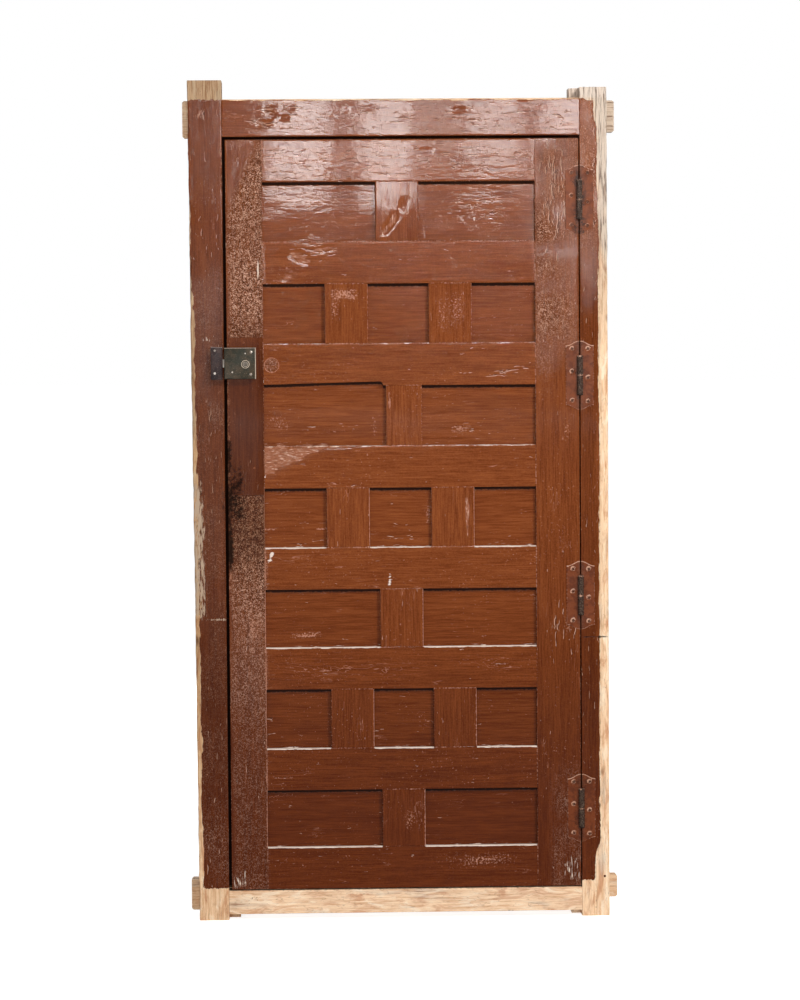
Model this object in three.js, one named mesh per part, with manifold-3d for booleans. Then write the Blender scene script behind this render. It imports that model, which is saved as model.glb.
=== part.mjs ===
// A framed door leaf of stiles, rails, muntins and seventeen panels, hung on four lift-off hinges in a rebated
// frame, with a rim lock and its keeper. Millimetres, +Z up. Drawn from the lock-side edge of the leaf (x = 0),
// the face of frame and leaf (y = 0, the back is +y) and the floor (z = 0). The group is then moved so that its
// origin is at the middle of the footprint, on the floor.
import * as THREE from "three";
import { mergeVertices } from "three/addons/utils/BufferGeometryUtils.js";
import Module from "manifold-3d";

const wasm = await Module();
wasm.setup();

// Leaf
const leafWidth = 842;
const leafHeight = 1796;
const leafThickness = 40;
const lockStileWidth = 87;
const hingeStileWidth = 105;
const railHeight = 101;
const muntinWidth = 103;
const narrowMuntinWidth = 86;
const panelRecess = 14; // from the face of the leaf to the face of the panels
const grooveWidth = 12;
const grooveDepth = 12;
const railTenonLength = 55;
const endShoulder = 24; // left between an end rail's tenon and the end of the stile
const fieldRise = 6; // the panels are thicker at the back, inside a bevel all round
const fieldBevel = 22;
const patchThickness = 12; // board let into the face of the lock stile
const patchHeight = 378;
const patchBelowLock = 316.3; // from the middle of the lock down to the lower end of the patch

// Lower edges of the rails above the lower edge of the leaf, from the second rail down
const railFloorShares = [0.809, 0.6737, 0.5374, 0.4021, 0.2683, 0.1329, 0];
// Middles of the muntins across the field between the stiles, one list for each row from the top
const muntinShares = [[0.494], [0.3055, 0.687], [0.515], [0.307, 0.693], [0.502], [0.318, 0.697], [0.505]];
const narrowMuntinRow = 2;
const lockRailIndex = 2; // the third rail from the top lies behind the lock

// The first panel of the narrow muntin's row is cut up into the rail above it
const cutUpHeight = 9.5;
const cutUpMargin = 6;
const cutUpRadius = 9;

// Frame
const footDrop = 14; // feet of the jambs below the sill
const sillFaceHeight = 57;
const headHeight = 88.5;
const frameDepth = 95;
const lockJambTopWidth = 82;
const lockJambFootWidth = 72;
const hingeJambWidth = 66.5;
const lockHornRise = 45.5;
const hingeHornRise = 25.5;
const stopOverlap = 20; // how far each stop laps over the back of the leaf
const lockGap = 7;
const hingeGap = 2.5;
const headGap = 7;
const sillGap = 3;
const stopGap = 1;
const spliceLength = 180; // half-laps that join the two lengths of each jamb
const lockSpliceHeight = 726;
const hingeSpliceHeight = 676;
const throughTenonThickness = 34;
const throughTenonChamfer = 4;
// Tenons of head and sill: height, how far the top lies below the top of the member, reach past the jamb
const headLockTenon = { height: 88.5, drop: 0, reach: 13 };
const headHingeTenon = { height: 76, drop: 3.5, reach: 21 };
const sillLockTenon = { height: 76, drop: 0.8, reach: 19 };
const sillHingeTenon = { height: 54, drop: 3.5, reach: 23 };

// Hinges
const hingeCentreShares = [0.9187, 0.6854, 0.3914, 0.1052]; // of the leaf's height, from the top
const hingePlateWidth = 32;
const hingeApexHeight = 82; // half height of a plate at the knuckles
const hingeCornerHeight = 71; // half height of a plate at its outer edge
const hingePlateThickness = 2.5;
const hingePlateGap = 1.3; // from the axis to the inner edge of a plate
const knuckleRadius = 7;
const knuckleLength = 47.5;
const knuckleChamfer = 1.2;
const pinRadius = 3.6;
const pinLength = 78;
const screwHoleRadius = 2.6;
const countersinkRadius = 4.6;
const countersinkDepth = 1.7;
// Screw holes of the plates: distance from the axis, and height above the seam of the knuckles
const leafPlateHoles = [[18, 63], [18, 9], [18, -61]];
const jambPlateHoles = [[20, 63], [20, -6], [20, -63]];

// Lock
const lockAboveRail = 55.335; // middle of the lock above the lower edge of its rail
const caseWidth = 75;
const caseHeight = 74;
const caseDepth = 26;
const caseOverhang = 5.8; // past the edge of the leaf
const caseWall = 2.5;
const caseChamfer = 2;
const barrelRadius = 10;
const barrelFromEdge = 24.7; // from the inner side of the case
const barrelDrop = 2;
const barrelRise = 1.6; // ring round the cylinder, in front of the case
const barrelBackRise = 2; // the same at the back of the leaf
const plugRadius = 5;
const keySlotWidth = 1.6;
const keySlotHeight = 7;
const keySlotDepth = 12;
const boltHeight = 19;
const boltThickness = 10;
const boltLength = 38;
const boltChamfer = 1;
const boltToKeeper = 0.4; // nose of the bolt to the keeper when the leaf is closed and free to swing
const keeperWidth = 27;
const keeperHeight = 77;
const keeperDepth = 24;
const keeperFromJambEdge = 3.5;
const keeperWall = 2.5;

// Clearances, and the overrun of every cut
const jointGap = 0.3; // shoulders, tenons and bores
const panelGap = 1; // lets a panel swell in its groove
const slideGap = 0.6; // round the bolt
const overrun = 5;
const roundSegments = 32;
const smallSegments = 16;

// Places that follow from the sizes above
const leafBottom = footDrop + sillFaceHeight + sillGap;
const leafTop = leafBottom + leafHeight;
const headBottom = leafTop + headGap;
const headTop = headBottom + headHeight;
const rebateDepth = leafThickness + stopGap;
const lockJambEdge = -lockGap;
const hingeJambEdge = leafWidth + hingeGap;
const lockStopEdge = stopOverlap;
const hingeStopEdge = leafWidth - stopOverlap;
const headStopEdge = leafTop - stopOverlap;
const sillStopEdge = leafBottom + stopOverlap;
const fieldLeft = lockStileWidth;
const fieldRight = leafWidth - hingeStileWidth;
const grooveFront = panelRecess;
const grooveBack = panelRecess + grooveWidth;
const hingeAxisX = leafWidth + hingeGap / 2;
const hingeAxisY = -knuckleRadius - jointGap;

const railFloors = [leafHeight - railHeight, ...railFloorShares.map((share) => share * leafHeight)].map(
  (floor) => leafBottom + floor,
);

const paintedWood = { color: 0x7a3e26, roughness: 0.35, metalness: 0 };
const bareWood = { color: 0xd9b888, roughness: 0.8, metalness: 0 };
const paintedIron = { color: 0x5c3a2e, roughness: 0.5, metalness: 0.4 };
const blackIron = { color: 0x34342c, roughness: 0.5, metalness: 0.8 };
const brightSteel = { color: 0xb9b7b0, roughness: 0.3, metalness: 1 };

const group = new THREE.Group();

function solid(geometry) {
  const bare = new THREE.BufferGeometry();
  bare.setAttribute("position", geometry.getAttribute("position"));
  if (geometry.index) bare.setIndex(geometry.index);
  const merged = mergeVertices(bare, 1e-4);
  return new wasm.Manifold(
    new wasm.Mesh({
      numProp: 3,
      vertProperties: merged.attributes.position.array,
      triVerts: new Uint32Array(merged.index.array),
    }),
  );
}

function addPiece(name, shape, finish) {
  const { numProp, vertProperties, triVerts } = shape.getMesh();
  const geometry = new THREE.BufferGeometry();
  geometry.setAttribute("position", new THREE.BufferAttribute(vertProperties, numProp));
  geometry.setIndex(new THREE.BufferAttribute(triVerts, 1));
  geometry.computeVertexNormals();
  const mesh = new THREE.Mesh(geometry, new THREE.MeshStandardMaterial(finish));
  mesh.name = name;
  group.add(mesh);
}

function box([x0, x1], [y0, y1], [z0, z1]) {
  const geometry = new THREE.BoxGeometry(x1 - x0, y1 - y0, z1 - z0);
  return solid(geometry.translate((x0 + x1) / 2, (y0 + y1) / 2, (z0 + z1) / 2));
}

// An outline of [x, z] points, or a THREE.Shape in x and z, carried from one y to another
function frontPrism(outline, [y0, y1], bevel = {}) {
  const given = outline instanceof THREE.Shape;
  const shape = given ? outline : new THREE.Shape(outline.map(([x, z]) => new THREE.Vector2(x, z)));
  const geometry = new THREE.ExtrudeGeometry(shape, { depth: y1 - y0, bevelEnabled: false, ...bevel });
  return solid(geometry.rotateX(Math.PI / 2).translate(0, y1, 0));
}

// An outline of [y, z] points carried from one x to another
function sidePrism(outline, [x0, x1]) {
  const shape = new THREE.Shape(outline.map(([y, z]) => new THREE.Vector2(y, z)));
  const geometry = new THREE.ExtrudeGeometry(shape, { depth: x1 - x0, bevelEnabled: false });
  const turn = new THREE.Matrix4().makeBasis(
    new THREE.Vector3(0, 1, 0),
    new THREE.Vector3(0, 0, 1),
    new THREE.Vector3(1, 0, 0),
  );
  return solid(geometry.applyMatrix4(turn).translate(x0, 0, 0));
}

// An outline of [x, y] points carried from one z to another
function uprightPrism(outline, [z0, z1]) {
  const shape = new THREE.Shape(outline.map(([x, y]) => new THREE.Vector2(x, y)));
  const geometry = new THREE.ExtrudeGeometry(shape, { depth: z1 - z0, bevelEnabled: false });
  return solid(geometry.translate(0, 0, z0));
}

// A round bar along y, and one turned about a vertical axis from a profile of [radius, z] points
function rodY(radius, [y0, y1], x, z, segments = roundSegments) {
  const geometry = new THREE.CylinderGeometry(radius, radius, y1 - y0, segments);
  return solid(geometry.translate(x, (y0 + y1) / 2, z));
}

function turned(profile, x, y) {
  const points = profile.map(([radius, z]) => new THREE.Vector2(radius, z));
  const geometry = new THREE.LatheGeometry(points, roundSegments);
  return solid(geometry.rotateX(Math.PI / 2).translate(x, y, 0));
}

const grow = ([low, high], by) => [low - by, high + by];
const shrink = (span, by) => grow(span, -by);

// Frame: each jamb is one member with its stop and mortises, cut into two lengths by a half-lap
const throughTenonY = [
  (rebateDepth + frameDepth - throughTenonThickness) / 2,
  (rebateDepth + frameDepth + throughTenonThickness) / 2,
];

const tenonSpan = (memberTop, tenon) => [memberTop - tenon.drop - tenon.height, memberTop - tenon.drop];
const headTenonSpans = [tenonSpan(headTop, headLockTenon), tenonSpan(headTop, headHingeTenon)];
const sillTenonSpans = [tenonSpan(sillStopEdge, sillLockTenon), tenonSpan(sillStopEdge, sillHingeTenon)];

const lockJambTop = headTop + lockHornRise;
const hingeJambTop = headTop + hingeHornRise;

// The outer side of the lock jamb tapers from the horn to the foot
function lockJambOuter(z) {
  const width = lockJambFootWidth + ((lockJambTopWidth - lockJambFootWidth) * z) / lockJambTop;
  return lockJambEdge - width;
}

function mortiseCut(span) {
  const across = [lockJambEdge - lockJambTopWidth - overrun, hingeJambEdge + hingeJambWidth + overrun];
  return box(across, grow(throughTenonY, jointGap), grow(span, jointGap));
}

function splice(member, height, top) {
  const across = [lockJambEdge - lockJambTopWidth - overrun, hingeJambEdge + hingeJambWidth + overrun];
  const lapPlane = frameDepth / 2;
  const back = [lapPlane + jointGap / 2, frameDepth + overrun];
  const full = [-overrun, frameDepth + overrun];
  const lowerRegion = box(across, full, [-overrun, height]).add(
    box(across, back, [height - overrun, height + spliceLength]),
  );
  const front = [-overrun, lapPlane - jointGap / 2];
  const upperRegion = box(across, full, [height + spliceLength + jointGap, top + overrun]).add(
    box(across, front, [height + jointGap, height + spliceLength + overrun]),
  );
  return { lower: member.intersect(lowerRegion), upper: member.intersect(upperRegion) };
}

function makeLockJamb() {
  const outline = [
    [lockJambOuter(0), 0],
    [lockJambEdge, 0],
    [lockJambEdge, lockJambTop],
    [lockJambOuter(lockJambTop), lockJambTop],
  ];
  const stop = box([lockJambEdge - overrun, lockStopEdge], [rebateDepth, frameDepth], [0, headTop]);
  const member = frontPrism(outline, [0, frameDepth])
    .add(stop)
    .subtract(mortiseCut(headTenonSpans[0]))
    .subtract(mortiseCut(sillTenonSpans[0]));
  const { lower, upper } = splice(member, lockSpliceHeight, lockJambTop);
  addPiece("lock_jamb_lower", lower, paintedWood);
  addPiece("lock_jamb_upper", upper, paintedWood);
}

function makeHingeJamb() {
  const outer = hingeJambEdge + hingeJambWidth;
  const post = box([hingeJambEdge, outer], [0, frameDepth], [0, hingeJambTop]);
  const stop = box([hingeStopEdge, hingeJambEdge + overrun], [rebateDepth, frameDepth], [0, hingeJambTop]);
  const member = post
    .add(stop)
    .subtract(mortiseCut(headTenonSpans[1]))
    .subtract(mortiseCut(sillTenonSpans[1]));
  const { lower, upper } = splice(member, hingeSpliceHeight, hingeJambTop);
  addPiece("hinge_jamb_lower", lower, paintedWood);
  addPiece("hinge_jamb_upper", upper, paintedWood);
}

// A through tenon runs from a shoulder to its chamfered end
function throughTenon(shoulder, end, [z0, z1]) {
  const side = Math.sign(end - shoulder);
  const root = shoulder - side * overrun;
  const lip = end - side * throughTenonChamfer;
  const outline = [
    [root, z0],
    [lip, z0],
    [end, z0 + throughTenonChamfer],
    [end, z1 - throughTenonChamfer],
    [lip, z1],
    [root, z1],
  ];
  return frontPrism(side > 0 ? outline : outline.reverse(), throughTenonY);
}

// The front of a frame member fits between the jambs, its back between their stops
function crossMember(faceSpan, backSpan, spans, tenons) {
  const front = shrink([lockJambEdge, hingeJambEdge], jointGap);
  const back = shrink([lockStopEdge, hingeStopEdge], jointGap);
  const lockEnd = lockJambOuter(spans[0][1]) - tenons[0].reach;
  const hingeEnd = hingeJambEdge + hingeJambWidth + tenons[1].reach;
  return box(front, [0, rebateDepth - jointGap], faceSpan)
    .add(box(back, [0, frameDepth], faceSpan))
    .add(box(back, [rebateDepth, frameDepth], backSpan))
    .add(throughTenon(back[0], lockEnd, spans[0]))
    .add(throughTenon(back[1], hingeEnd, spans[1]));
}

function makeCrossMembers() {
  const head = crossMember([headBottom, headTop], [headStopEdge, headTop], headTenonSpans, [
    headLockTenon,
    headHingeTenon,
  ]);
  const sillTop = footDrop + sillFaceHeight;
  const sill = crossMember([footDrop, sillTop], [footDrop, sillStopEdge], sillTenonSpans, [
    sillLockTenon,
    sillHingeTenon,
  ]);
  addPiece("head", head, paintedWood);
  addPiece("sill", sill, bareWood);
}

// Leaf: stiles with a groove and mortises, rails and muntins with grooves and tenons, panels in the grooves
function railTenonSpan(row) {
  const floor = railFloors[row];
  const low = row === railFloors.length - 1 ? endShoulder : grooveDepth;
  const high = row === 0 ? endShoulder : grooveDepth;
  return [floor + low, floor + railHeight - high];
}

function makeStile(name, edge, inner, cuts = []) {
  const side = Math.sign(inner - edge);
  const across = (from, to) => [Math.min(from, to), Math.max(from, to)];
  const groove = across(inner - side * grooveDepth, inner + side * overrun);
  const mortise = across(inner - side * (railTenonLength + jointGap), inner + side * overrun);
  let stile = box(across(edge, inner), [0, leafThickness], [leafBottom, leafTop]);
  const grooveSpan = [railFloors.at(-1) + railHeight - grooveDepth, railFloors[0] + grooveDepth];
  stile = stile.subtract(box(groove, [grooveFront, grooveBack], grooveSpan));
  railFloors.forEach((_, row) => {
    const pocket = box(mortise, [grooveFront, grooveBack], grow(railTenonSpan(row), jointGap));
    stile = stile.subtract(pocket);
  });
  cuts.forEach((cut) => {
    stile = stile.subtract(cut);
  });
  addPiece(name, stile, paintedWood);
}

const patchFloor = railFloors[lockRailIndex] + lockAboveRail - patchBelowLock;
const patchSpan = [patchFloor, patchFloor + patchHeight];

function patchBed() {
  return box([-overrun, lockStileWidth + overrun], [-overrun, patchThickness], patchSpan);
}

function makePatch() {
  const board = box([0, lockStileWidth], [0, patchThickness - jointGap], shrink(patchSpan, jointGap));
  addPiece("lock_stile_patch", board.subtract(barrelBore()), paintedWood);
}

function makeRail(name, row) {
  const floor = railFloors[row];
  const body = shrink([fieldLeft, fieldRight], jointGap);
  const long = grow([fieldLeft, fieldRight], railTenonLength);
  const cutAcross = grow(body, overrun);
  let rail = box(body, [0, leafThickness], [floor, floor + railHeight]);
  rail = rail.add(box(long, shrink([grooveFront, grooveBack], jointGap), railTenonSpan(row)));
  const grooveY = [grooveFront, grooveBack];
  const top = floor + railHeight;
  if (row > 0) rail = rail.subtract(box(cutAcross, grooveY, [top - grooveDepth, top + overrun]));
  if (row < railFloors.length - 1) {
    rail = rail.subtract(box(cutAcross, grooveY, [floor - overrun, floor + grooveDepth]));
  }
  if (row === narrowMuntinRow) rail = rail.subtract(cutUp(floor));
  // The barrel of the lock is bored through whatever tenon lies behind it
  addPiece(name, rail.subtract(barrelBore()), paintedWood);
}

// The arched corner of the cut-up is at the muntin's side
function cutUp(floor) {
  const left = fieldLeft - overrun;
  const right = panelBounds(narrowMuntinRow, 0)[1] - cutUpMargin;
  const shape = new THREE.Shape();
  shape.moveTo(left, floor - overrun);
  shape.lineTo(right, floor - overrun);
  shape.lineTo(right, floor + cutUpHeight - cutUpRadius);
  shape.absarc(right - cutUpRadius, floor + cutUpHeight - cutUpRadius, cutUpRadius, 0, Math.PI / 2);
  shape.lineTo(left, floor + cutUpHeight);
  return frontPrism(shape, [-overrun, panelRecess]);
}

const rowSpan = (row) => [railFloors[row + 1] + railHeight, railFloors[row]];

function muntinBounds(row, place) {
  const width = row === narrowMuntinRow ? narrowMuntinWidth : muntinWidth;
  const middle = fieldLeft + muntinShares[row][place] * (fieldRight - fieldLeft);
  return [middle - width / 2, middle + width / 2];
}

function panelBounds(row, place) {
  const left = place === 0 ? fieldLeft : muntinBounds(row, place - 1)[1];
  const right = place === muntinShares[row].length ? fieldRight : muntinBounds(row, place)[0];
  return [left, right];
}

function makeMuntin(name, row, place) {
  const bounds = muntinBounds(row, place);
  const span = shrink(rowSpan(row), jointGap);
  const cutSpan = grow(span, overrun);
  const grooveY = [grooveFront, grooveBack];
  const stub = shrink(bounds, grooveDepth);
  const muntin = box(bounds, [0, leafThickness], span)
    .subtract(box([bounds[0] - overrun, stub[0]], grooveY, cutSpan))
    .subtract(box([stub[1], bounds[1] + overrun], grooveY, cutSpan))
    .add(box(stub, shrink(grooveY, jointGap), grow(rowSpan(row), grooveDepth - jointGap)));
  addPiece(name, muntin, paintedWood);
}

// Both sections of a panel, thin in the groove and thick behind the field, meet in mitred bevels
function makePanel(name, row, place) {
  const x = grow(panelBounds(row, place), grooveDepth - panelGap);
  const z = grow(rowSpan(row), grooveDepth - panelGap);
  const [front, tongueBack] = shrink([grooveFront, grooveBack], jointGap);
  const bevelStart = grooveDepth;
  const section = ([low, high]) => [
    [low, front],
    [high, front],
    [high, tongueBack],
    [high - bevelStart, tongueBack],
    [high - bevelStart - fieldBevel, tongueBack + fieldRise],
    [low + bevelStart + fieldBevel, tongueBack + fieldRise],
    [low + bevelStart, tongueBack],
    [low, tongueBack],
  ];
  const acrossField = uprightPrism(section(x), z);
  const upField = sidePrism(section(z).map(([z, y]) => [y, z]).reverse(), x);
  addPiece(name, acrossField.intersect(upField), paintedWood);
}

// Hinges: the leaf's knuckle turns on a pin that is fixed in the jamb's knuckle
function hingePlate(side, seam, holes, ownKnuckle, otherKnuckle) {
  const inner = hingePlateGap;
  const outer = inner + hingePlateWidth;
  const place = (u, v) => [hingeAxisX + side * u, seam + v];
  const shape = new THREE.Shape();
  shape.moveTo(...place(inner, -hingeApexHeight));
  ogee(shape, place, inner, outer, -1);
  shape.lineTo(...place(outer, hingeCornerHeight));
  ogee(shape, place, outer, inner, 1);
  let plate = frontPrism(shape, [-hingePlateThickness, 0]);
  holes.forEach(([u, v]) => {
    const [x, z] = place(u, v);
    const through = rodY(screwHoleRadius, [-hingePlateThickness - overrun, overrun], x, z, smallSegments);
    const sink = new THREE.CylinderGeometry(screwHoleRadius, countersinkRadius, countersinkDepth, smallSegments);
    sink.translate(x, countersinkDepth / 2 - hingePlateThickness, z);
    plate = plate.subtract(through).subtract(solid(sink));
  });
  const relief = knuckleSpan(seam, otherKnuckle);
  const reliefCut = turned(
    [
      [0, relief[0] - jointGap],
      [knuckleRadius + slideGap, relief[0] - jointGap],
      [knuckleRadius + slideGap, relief[1] + jointGap],
      [0, relief[1] + jointGap],
    ],
    hingeAxisX,
    hingeAxisY,
  );
  return plate.subtract(reliefCut).add(knuckleWithBore(seam, ownKnuckle));
}

// The S-shaped end of a plate, higher at the knuckles than at the outer edge
function ogee(shape, place, from, to, end) {
  const [inner, outer] = from < to ? [from, to] : [to, from];
  const nearKnuckle = [inner + (outer - inner) * 0.4, end * hingeApexHeight];
  const nearCorner = [inner + (outer - inner) * 0.55, end * hingeCornerHeight];
  const controls = from < to ? [nearKnuckle, nearCorner] : [nearCorner, nearKnuckle];
  const last = from < to ? [outer, end * hingeCornerHeight] : [inner, end * hingeApexHeight];
  if (from > to) shape.lineTo(...place(outer, end * hingeCornerHeight));
  const points = [...controls, last].flatMap(([u, v]) => place(u, v));
  shape.bezierCurveTo(...points);
}

function knuckleSpan(seam, end) {
  const near = (end * jointGap) / 2;
  const far = end * knuckleLength;
  return end > 0 ? [seam + near, seam + far] : [seam + far, seam + near];
}

// A knuckle is bored from the seam, and closed at its far end
function knuckleWithBore(seam, end) {
  const [low, high] = knuckleSpan(seam, end);
  const outside = turned(
    [
      [0, low],
      [knuckleRadius - knuckleChamfer, low],
      [knuckleRadius, low + knuckleChamfer],
      [knuckleRadius, high - knuckleChamfer],
      [knuckleRadius - knuckleChamfer, high],
      [0, high],
    ],
    hingeAxisX,
    hingeAxisY,
  );
  const boreLow = end > 0 ? low - overrun : seam - pinLength / 2 - jointGap;
  const boreHigh = end > 0 ? seam + pinLength / 2 + jointGap : high + overrun;
  const bore = turned(
    [
      [0, boreLow],
      [pinRadius + jointGap, boreLow],
      [pinRadius + jointGap, boreHigh],
      [0, boreHigh],
    ],
    hingeAxisX,
    hingeAxisY,
  );
  return outside.subtract(bore);
}

function makeHinge(number, share) {
  const seam = leafBottom + share * leafHeight;
  const pin = turned(
    [
      [0, seam - pinLength / 2],
      [pinRadius, seam - pinLength / 2],
      [pinRadius, seam + pinLength / 2 - knuckleChamfer],
      [pinRadius - knuckleChamfer, seam + pinLength / 2],
      [0, seam + pinLength / 2],
    ],
    hingeAxisX,
    hingeAxisY,
  );
  addPiece("hinge_" + number + "_leaf_plate", hingePlate(-1, seam, leafPlateHoles, 1, -1), paintedIron);
  addPiece("hinge_" + number + "_jamb_plate", hingePlate(1, seam, jambPlateHoles, -1, 1), paintedIron);
  addPiece("hinge_" + number + "_pin", pin, brightSteel);
}

// Lock: an open-backed case with the barrel of its cylinder, a plug that turns and a bolt that slides
const caseX = [-caseOverhang, caseWidth - caseOverhang];
const lockCentreZ = railFloors[lockRailIndex] + lockAboveRail;
const caseZ = [lockCentreZ - caseHeight / 2, lockCentreZ + caseHeight / 2];
const barrelX = caseX[1] - barrelFromEdge;
const barrelZ = lockCentreZ - barrelDrop;
const boltY = [-(caseDepth + boltThickness) / 2, -(caseDepth - boltThickness) / 2];
const boltZ = [lockCentreZ - boltHeight / 2, lockCentreZ + boltHeight / 2];
const keeperX = [lockJambEdge - keeperFromJambEdge - keeperWidth, lockJambEdge - keeperFromJambEdge];
const keeperZ = [lockCentreZ - keeperHeight / 2, lockCentreZ + keeperHeight / 2];
const boltNose = keeperX[1] + boltToKeeper;

function barrelBore() {
  return rodY(barrelRadius + jointGap, [-overrun, leafThickness + overrun], barrelX, barrelZ);
}

// A box with its front edges chamfered and its back at the face of the wood
function chamferedBox([x0, x1], depth, [z0, z1]) {
  const outline = [
    [x0 + caseChamfer, z0 + caseChamfer],
    [x1 - caseChamfer, z0 + caseChamfer],
    [x1 - caseChamfer, z1 - caseChamfer],
    [x0 + caseChamfer, z1 - caseChamfer],
  ];
  const bevel = { bevelEnabled: true, bevelThickness: caseChamfer, bevelSize: caseChamfer, bevelSegments: 1 };
  const block = frontPrism(outline, [caseChamfer - depth, overrun], bevel);
  return block.intersect(box(grow([x0, x1], overrun), [-depth - overrun, 0], grow([z0, z1], overrun)));
}

function makeCase() {
  const inside = box(shrink(caseX, caseWall), [caseWall - caseDepth, overrun], shrink(caseZ, caseWall));
  const sideWall = [caseX[0], caseX[0] + caseWall];
  const boltSlot = box(grow(sideWall, overrun), grow(boltY, slideGap), grow(boltZ, slideGap));
  const barrelY = [-caseDepth - barrelRise, leafThickness + barrelBackRise];
  const lockCase = chamferedBox(caseX, caseDepth, caseZ)
    .subtract(inside)
    .subtract(boltSlot)
    .add(rodY(barrelRadius, barrelY, barrelX, barrelZ))
    .subtract(rodY(plugRadius + jointGap, grow(barrelY, overrun), barrelX, barrelZ));
  addPiece("lock_case", lockCase, blackIron);
}

function makePlug() {
  const y = [-caseDepth - barrelRise, leafThickness + barrelBackRise];
  const slot = (front) => {
    const depth = front ? [y[0] - overrun, y[0] + keySlotDepth] : [y[1] - keySlotDepth, y[1] + overrun];
    const width = [barrelX - keySlotWidth / 2, barrelX + keySlotWidth / 2];
    return box(width, depth, [barrelZ - keySlotHeight / 2, barrelZ + keySlotHeight / 2]);
  };
  const plug = rodY(plugRadius, y, barrelX, barrelZ).subtract(slot(true)).subtract(slot(false));
  addPiece("cylinder_plug", plug, brightSteel);
}

function makeBolt() {
  const [y0, y1] = boltY;
  const outline = [
    [boltNose, y0 + boltChamfer],
    [boltNose + boltChamfer, y0],
    [boltNose + boltLength, y0],
    [boltNose + boltLength, y1],
    [boltNose + boltChamfer, y1],
    [boltNose, y1 - boltChamfer],
  ];
  addPiece("lock_bolt", uprightPrism(outline, boltZ), brightSteel);
}

function makeKeeper() {
  const inside = box(shrink(keeperX, keeperWall), [keeperWall - keeperDepth, overrun], shrink(keeperZ, keeperWall));
  const sideWall = [keeperX[1] - keeperWall, keeperX[1]];
  const mouth = box(grow(sideWall, overrun), grow(boltY, slideGap), grow(boltZ, slideGap));
  const keeper = chamferedBox(keeperX, keeperDepth, keeperZ).subtract(inside).subtract(mouth);
  addPiece("keeper", keeper, blackIron);
}

makeLockJamb();
makeHingeJamb();
makeCrossMembers();
makeStile("lock_stile", 0, fieldLeft, [patchBed(), barrelBore()]);
makeStile("hinge_stile", leafWidth, fieldRight);
makePatch();
railFloors.forEach((_, row) => makeRail("rail_" + (row + 1), row));
muntinShares.forEach((places, row) => {
  places.forEach((_, place) => makeMuntin("muntin_" + (row + 1) + "_" + (place + 1), row, place));
  for (let place = 0; place <= places.length; place += 1) {
    makePanel("panel_" + (row + 1) + "_" + (place + 1), row, place);
  }
});
hingeCentreShares.forEach((share, index) => makeHinge(index + 1, share));
makeCase();
makePlug();
makeBolt();
makeKeeper();

// Origin on the floor, in the middle of the whole: from tenon end to tenon end and from lock case to back
const lowX = Math.min(
  lockJambOuter(headTenonSpans[0][1]) - headLockTenon.reach,
  lockJambOuter(sillTenonSpans[0][1]) - sillLockTenon.reach,
);
const highX = hingeJambEdge + hingeJambWidth + Math.max(headHingeTenon.reach, sillHingeTenon.reach);
const frontY = -Math.max(caseDepth + barrelRise, keeperDepth);
group.position.set(-(lowX + highX) / 2, -(frontY + frameDepth) / 2, 0);

export default group;
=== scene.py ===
import math

import bmesh
import bpy
import numpy as np
from mathutils import Matrix, Vector


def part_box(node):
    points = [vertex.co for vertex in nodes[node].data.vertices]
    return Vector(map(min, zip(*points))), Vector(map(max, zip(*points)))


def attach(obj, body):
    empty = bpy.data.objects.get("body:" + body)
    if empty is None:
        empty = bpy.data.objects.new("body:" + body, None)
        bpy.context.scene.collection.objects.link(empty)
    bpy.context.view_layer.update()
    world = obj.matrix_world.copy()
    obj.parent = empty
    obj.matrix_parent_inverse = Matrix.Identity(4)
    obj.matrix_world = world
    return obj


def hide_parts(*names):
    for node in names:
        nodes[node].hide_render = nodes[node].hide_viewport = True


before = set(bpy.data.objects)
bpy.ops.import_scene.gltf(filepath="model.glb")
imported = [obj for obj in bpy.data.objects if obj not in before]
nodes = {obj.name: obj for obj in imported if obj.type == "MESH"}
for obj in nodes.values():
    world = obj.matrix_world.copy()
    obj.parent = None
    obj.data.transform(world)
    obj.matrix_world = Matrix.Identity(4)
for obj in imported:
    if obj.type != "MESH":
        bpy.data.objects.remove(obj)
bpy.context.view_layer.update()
print("frame:", len(nodes), "nodes")

# Sizes are millimetres from the leaf's lower corner on the lock side: x across, y back from the face, z up
mm = 0.001
leafCorner = np.array(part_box("lock_stile")[0])
floorZ = -leafCorner[2] / mm
quarterTurn = math.pi / 2


def nodeSpan(name):
    low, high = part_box(name)
    return (np.array(low) - leafCorner) / mm, (np.array(high) - leafCorner) / mm


# Helpers for numbers that vary over a surface

def smoothStep(t):
    t = np.clip(t, 0, 1)
    return t * t * (3 - 2 * t)


# 1 from low to high, with edges as wide as soft
def between(value, low, high, soft):
    return smoothStep((value - low) / soft + 0.5) * smoothStep((high - value) / soft + 0.5)


# 1 where a value is 0, and less on either side: exp of minus its squared share of the half width
def bell(value, halfWidth):
    return np.exp(-((value / halfWidth) ** 2))


# Value noise from 0 to 1: a seeded table of numbers at whole places, blended smoothly between them
def ripple(seed, u, v=0.0):
    size = 64
    table = np.random.RandomState(seed).rand(size, size)
    u, v = np.broadcast_arrays(np.asarray(u, float), np.asarray(v, float))
    i, j = np.floor(u).astype(int), np.floor(v).astype(int)
    s, t = smoothStep(u - i), smoothStep(v - j)
    i, j, k, l = i % size, j % size, (i + 1) % size, (j + 1) % size
    lower = table[i, j] * (1 - s) + table[k, j] * s
    upper = table[i, l] * (1 - s) + table[k, l] * s
    return lower * (1 - t) + upper * t


def addObject(name, data):
    made = bpy.data.objects.new(name, data)
    bpy.context.scene.collection.objects.link(made)
    return made


def smoothFaces(mesh):
    mesh.polygons.foreach_set("use_smooth", np.ones(len(mesh.polygons), bool))


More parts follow.
